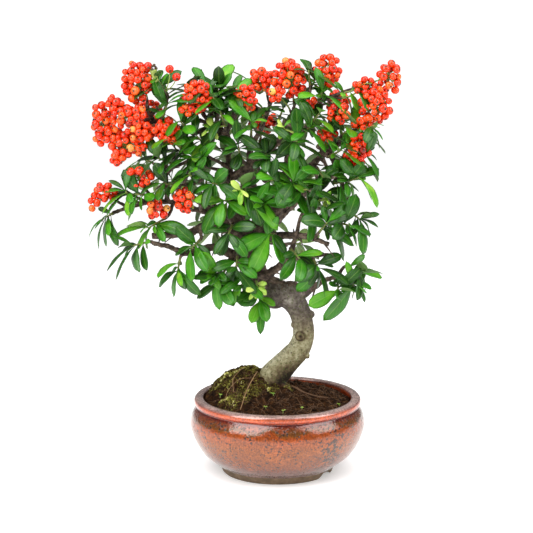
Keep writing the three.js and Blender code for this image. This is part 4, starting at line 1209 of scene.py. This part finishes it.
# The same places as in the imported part, then more between them where there is room
def bunchBerries(row, number):
    middle, wide = Vector(row["middle"]), Vector(row["radii"])
    found = []
    if "berries" in row:
        draw = makeDraw(number * 6007 + 5)
        tries = row["berries"] * 2
        for i in range(tries):
            if len(found) == row["berries"]:
                break
            level = 1 - (2 * (((i * 5) % tries) + 0.5)) / tries
            round_ = math.sqrt(1 - level * level)
            turn = i * goldenTurn + number
            radius = berryForm["radius"] * (0.92 + 0.2 * draw())
            out = around(turn, round_, level)
            place = middle + out * (wide - Vector((radius,) * 3))
            if all((one - place).length > other + radius for one, other in found):
                found.append((place, radius))
    found = [(place, radius * berryForm["ripeShare"]) for place, radius in found]
    chance = random.Random(number * 41 + 9)
    wanted = row.get("berries", 0) + row["more"]
    for _ in range(1500):
        if len(found) >= wanted:
            break
        out = Vector([chance.gauss(0, 1) for _ in range(3)]).normalized() * chance.uniform(0.3, 1) ** 0.5
        radius = chance.uniform(berryForm["smallest"], berryForm["largest"])
        place = middle + out * (wide - Vector((radius * 0.6,) * 3))
        if all((one - place).length > (other + radius) * berryForm["nearest"] for one, other in found):
            found.append((place, radius))
    return found


def addBunch(bag, row, number):
    seat, _, heading = shootFrame(row)
    middle = Vector(row["middle"])
    reach = (seat - middle).length
    stalk = bezierPath(seat, seat + heading * (reach * 0.3), seat.lerp(middle, 0.7), middle, 8)
    addTube(bag, stalk, taper(0.85, 0.5, 8), 6, 2, 0.75, 0.2)
    chance = random.Random(number * 13 + 1)
    for place, radius in bunchBerries(row, number):
        fork = stalk[chance.randint(5, 8)]
        bend = fork.lerp(place, 0.5) + up * chance.uniform(-1, 1.5)
        path = bezierPath(fork, bend, bend, place, 5)
        addTube(bag, path, [0.42, 0.36, 0.34, 0.34, 0.36, 0.4], 5, 2, chance.uniform(0.7, 1))
        out = (place - stalk[5]).normalized()
        facing = Vector((chance.gauss(0, 0.4), chance.gauss(-0.35, 0.4), chance.gauss(-0.1, 0.4)))
        tone = clamp(chance.gauss(0.5, 0.16), 0.08, 0.8)
        if chance.random() < row["unripe"]:
            tone = chance.uniform(0.8, 0.96)
        elif chance.random() < berryForm["withered"]:
            tone, radius = 0.0, radius * 0.8
        addBerry(bag, place, radius, (out + facing).normalized(), tone)


shades = {"leaves": [leafTop, leafBack, shootSkin], "berries": [berrySkin, calyxSkin, shootSkin]}
firstBetween = len(sprays)
betweenRows = {name: [betweenRow(place, name == "young_shoots") for place in places]
               for name, places in betweenSprays.items()}
allSprays = sprays + [row for rows in betweenRows.values() for row in rows]
allBunches = bunches + betweenBunches

makeTrunk()
makeLimbs()

print("leaves")

for number, row in enumerate(sprays):
    leafy = newBag()
    addSpray(leafy, row, number, leafForm["extraLeaves"])
    makePiece("fine_leaves_" + row["name"], leafy, shades["leaves"],
              ["leaves_" + row["name"]])

number = firstBetween
for name, rows in betweenRows.items():
    leafy = newBag()
    for row in rows:
        young = 1.0 if name == "young_shoots" else 0.0
        addSpray(leafy, row, number, 3, young)
        number += 1
    makePiece(name, leafy, shades["leaves"])

print("berries")

for number, row in enumerate(bunches):
    bunch = newBag()
    addBunch(bunch, row, number)
    makePiece("fine_berries_" + row["name"], bunch, shades["berries"],
              ["berries_" + row["name"]])

bunch = newBag()
for number, row in enumerate(betweenBunches):
    addBunch(bunch, row, len(bunches) + number)
makePiece("berries_between", bunch, shades["berries"])


# Three stray berries above the left side and an old flower spur with its dried remains

oldSpur = {
    "twig": [(-91, 4, 268), (-83, -2, 284), (-84, -5, 293), (-88, -6, 298)],
    "club": [(-88, -6, 298), (-90.5, -6, 302), (-92, -6, 307), (-92.6, -6, 310)],
    "crown": (-92.8, -6, 311.5),
    "dryLobes": 16,
    "stalksFrom": (-84, -5, 293),
    "berries": [(-96.5, -7, 313, 0.2), (-80.4, -8, 310.9, 0.3), (-75.3, -8, 304.9, 0.25)],
    "berryRadius": 3.3,
}


def makeOldSpur():
    bag = newBag()
    addTaper(bag, oldSpur["twig"], 1.2, 0.8, 12, 8, 3, 0.3, 0.3)
    club = smoothPath(oldSpur["club"], 10)
    addTube(bag, club, [mix(0.9, 2.9, (k / 10) ** 0.8) for k in range(11)], 12, 2, 0.85)
    chance = random.Random(97)
    for k in range(oldSpur["dryLobes"]):
        place = Vector(oldSpur["crown"]) + around(k * goldenTurn, 2.4, chance.uniform(-1, 3))
        addLump(bag, place, [chance.uniform(0.6, 1.3)] * 3, chance, 1, 0.3)
    for x, y, z, tone in oldSpur["berries"]:
        place = Vector((x, y, z))
        foot = Vector(oldSpur["stalksFrom"])
        bend = foot.lerp(place, 0.6) + Vector((1.5, 0, -1))
        addTube(bag, bezierPath(foot, bend, bend, place, 8), [0.4] * 9, 5, 2, 0.8)
        addBerry(bag, place, oldSpur["berryRadius"], Vector((0.2, -0.8, -0.5)).normalized(), tone, 0, 1)
    return makePiece("old_flower_spur", bag, [berrySkin, calyxSkin, shootSkin, limbBark])


makeOldSpur()


# Camera, floor and light

print("camera and light")

view = {"place": (-8.4, -1511, 456), "pitch": 78.91, "lens": 136.67, "sensor": 36}
lamps = [
    {"name": "leftBox", "place": (-580, -560, 880), "aim": (-20, -20, 90), "size": (860, 1400),
     "power": 21.5},
    {"name": "rightBox", "place": (760, -300, 880), "aim": (20, -20, 90), "size": (760, 1400),
     "power": 15.5},
    {"name": "topBox", "place": (0, 250, 1250), "aim": (0, 0, 150), "size": (900, 700), "power": 4.5},
]
studio = {"world": 0.2, "paperGlow": 0.26, "farGlow": 0.9, "glowFrom": 0.4, "glowTo": 2.5}

camera = newObject("photoCamera", bpy.data.cameras.new("photoCamera"))
camera.data.lens = view["lens"]
camera.data.sensor_width = view["sensor"]
camera.data.clip_end = 60
camera.location = at(view["place"])
camera.rotation_euler = (math.radians(view["pitch"]), 0, 0)
bpy.context.scene.camera = camera

for row in lamps:
    lamp = newObject(row["name"], bpy.data.lights.new(row["name"], "AREA"))
    lamp.data.shape = "RECTANGLE"
    lamp.data.size = row["size"][0] * metresPerMm
    lamp.data.size_y = row["size"][1] * metresPerMm
    lamp.data.energy = row["power"]
    lamp.location = at(row["place"])
    lamp.rotation_euler = (at(row["place"]) - at(row["aim"])).to_track_quat("Z", "Y").to_euler()

world = bpy.data.worlds.new("paleStudio")
bpy.context.scene.world = world
world.use_nodes = True
world.node_tree.nodes["Background"].inputs["Color"].default_value = linear("#f4f6f8")
world.node_tree.nodes["Background"].inputs["Strength"].default_value = studio["world"]

# Seamless white paper on a table lit from below: an even pale matt floor, slightly fibrous
paper = makeMottled("whiteBackdropPaper", 60, 2, [(0.3, "#f6f6f5"), (0.7, "#fbfbfa")], 0.05, 0.9,
    **{"Emission Color": linear("#ffffff"), "Emission Strength": studio["paperGlow"]})
addToPaper = partial(addNode, paper.node_tree)
fromPot = addToPaper("VectorMath", links={0: addToPaper("TexCoord").outputs["Object"]},
    operation="LENGTH")
glow = addToPaper("MapRange", {"From Min": studio["glowFrom"], "From Max": studio["glowTo"],
    "To Min": studio["paperGlow"], "To Max": studio["farGlow"]}, {"Value": fromPot.outputs["Value"]})
feed(paper.node_tree.nodes["Principled BSDF"], "Emission Strength", glow)
floorMesh = bpy.data.meshes.new("floor")
floorReach = 14
corners = [(x * floorReach, y * floorReach, 0) for x, y in ((-1, -1), (1, -1), (1, 1), (-1, 1))]
floorMesh.from_pydata(corners, [], [(0, 1, 2, 3)])
floorMesh.materials.append(paper)
floor = newObject("floor", floorMesh)

bpy.context.scene.view_settings.view_transform = "Standard"
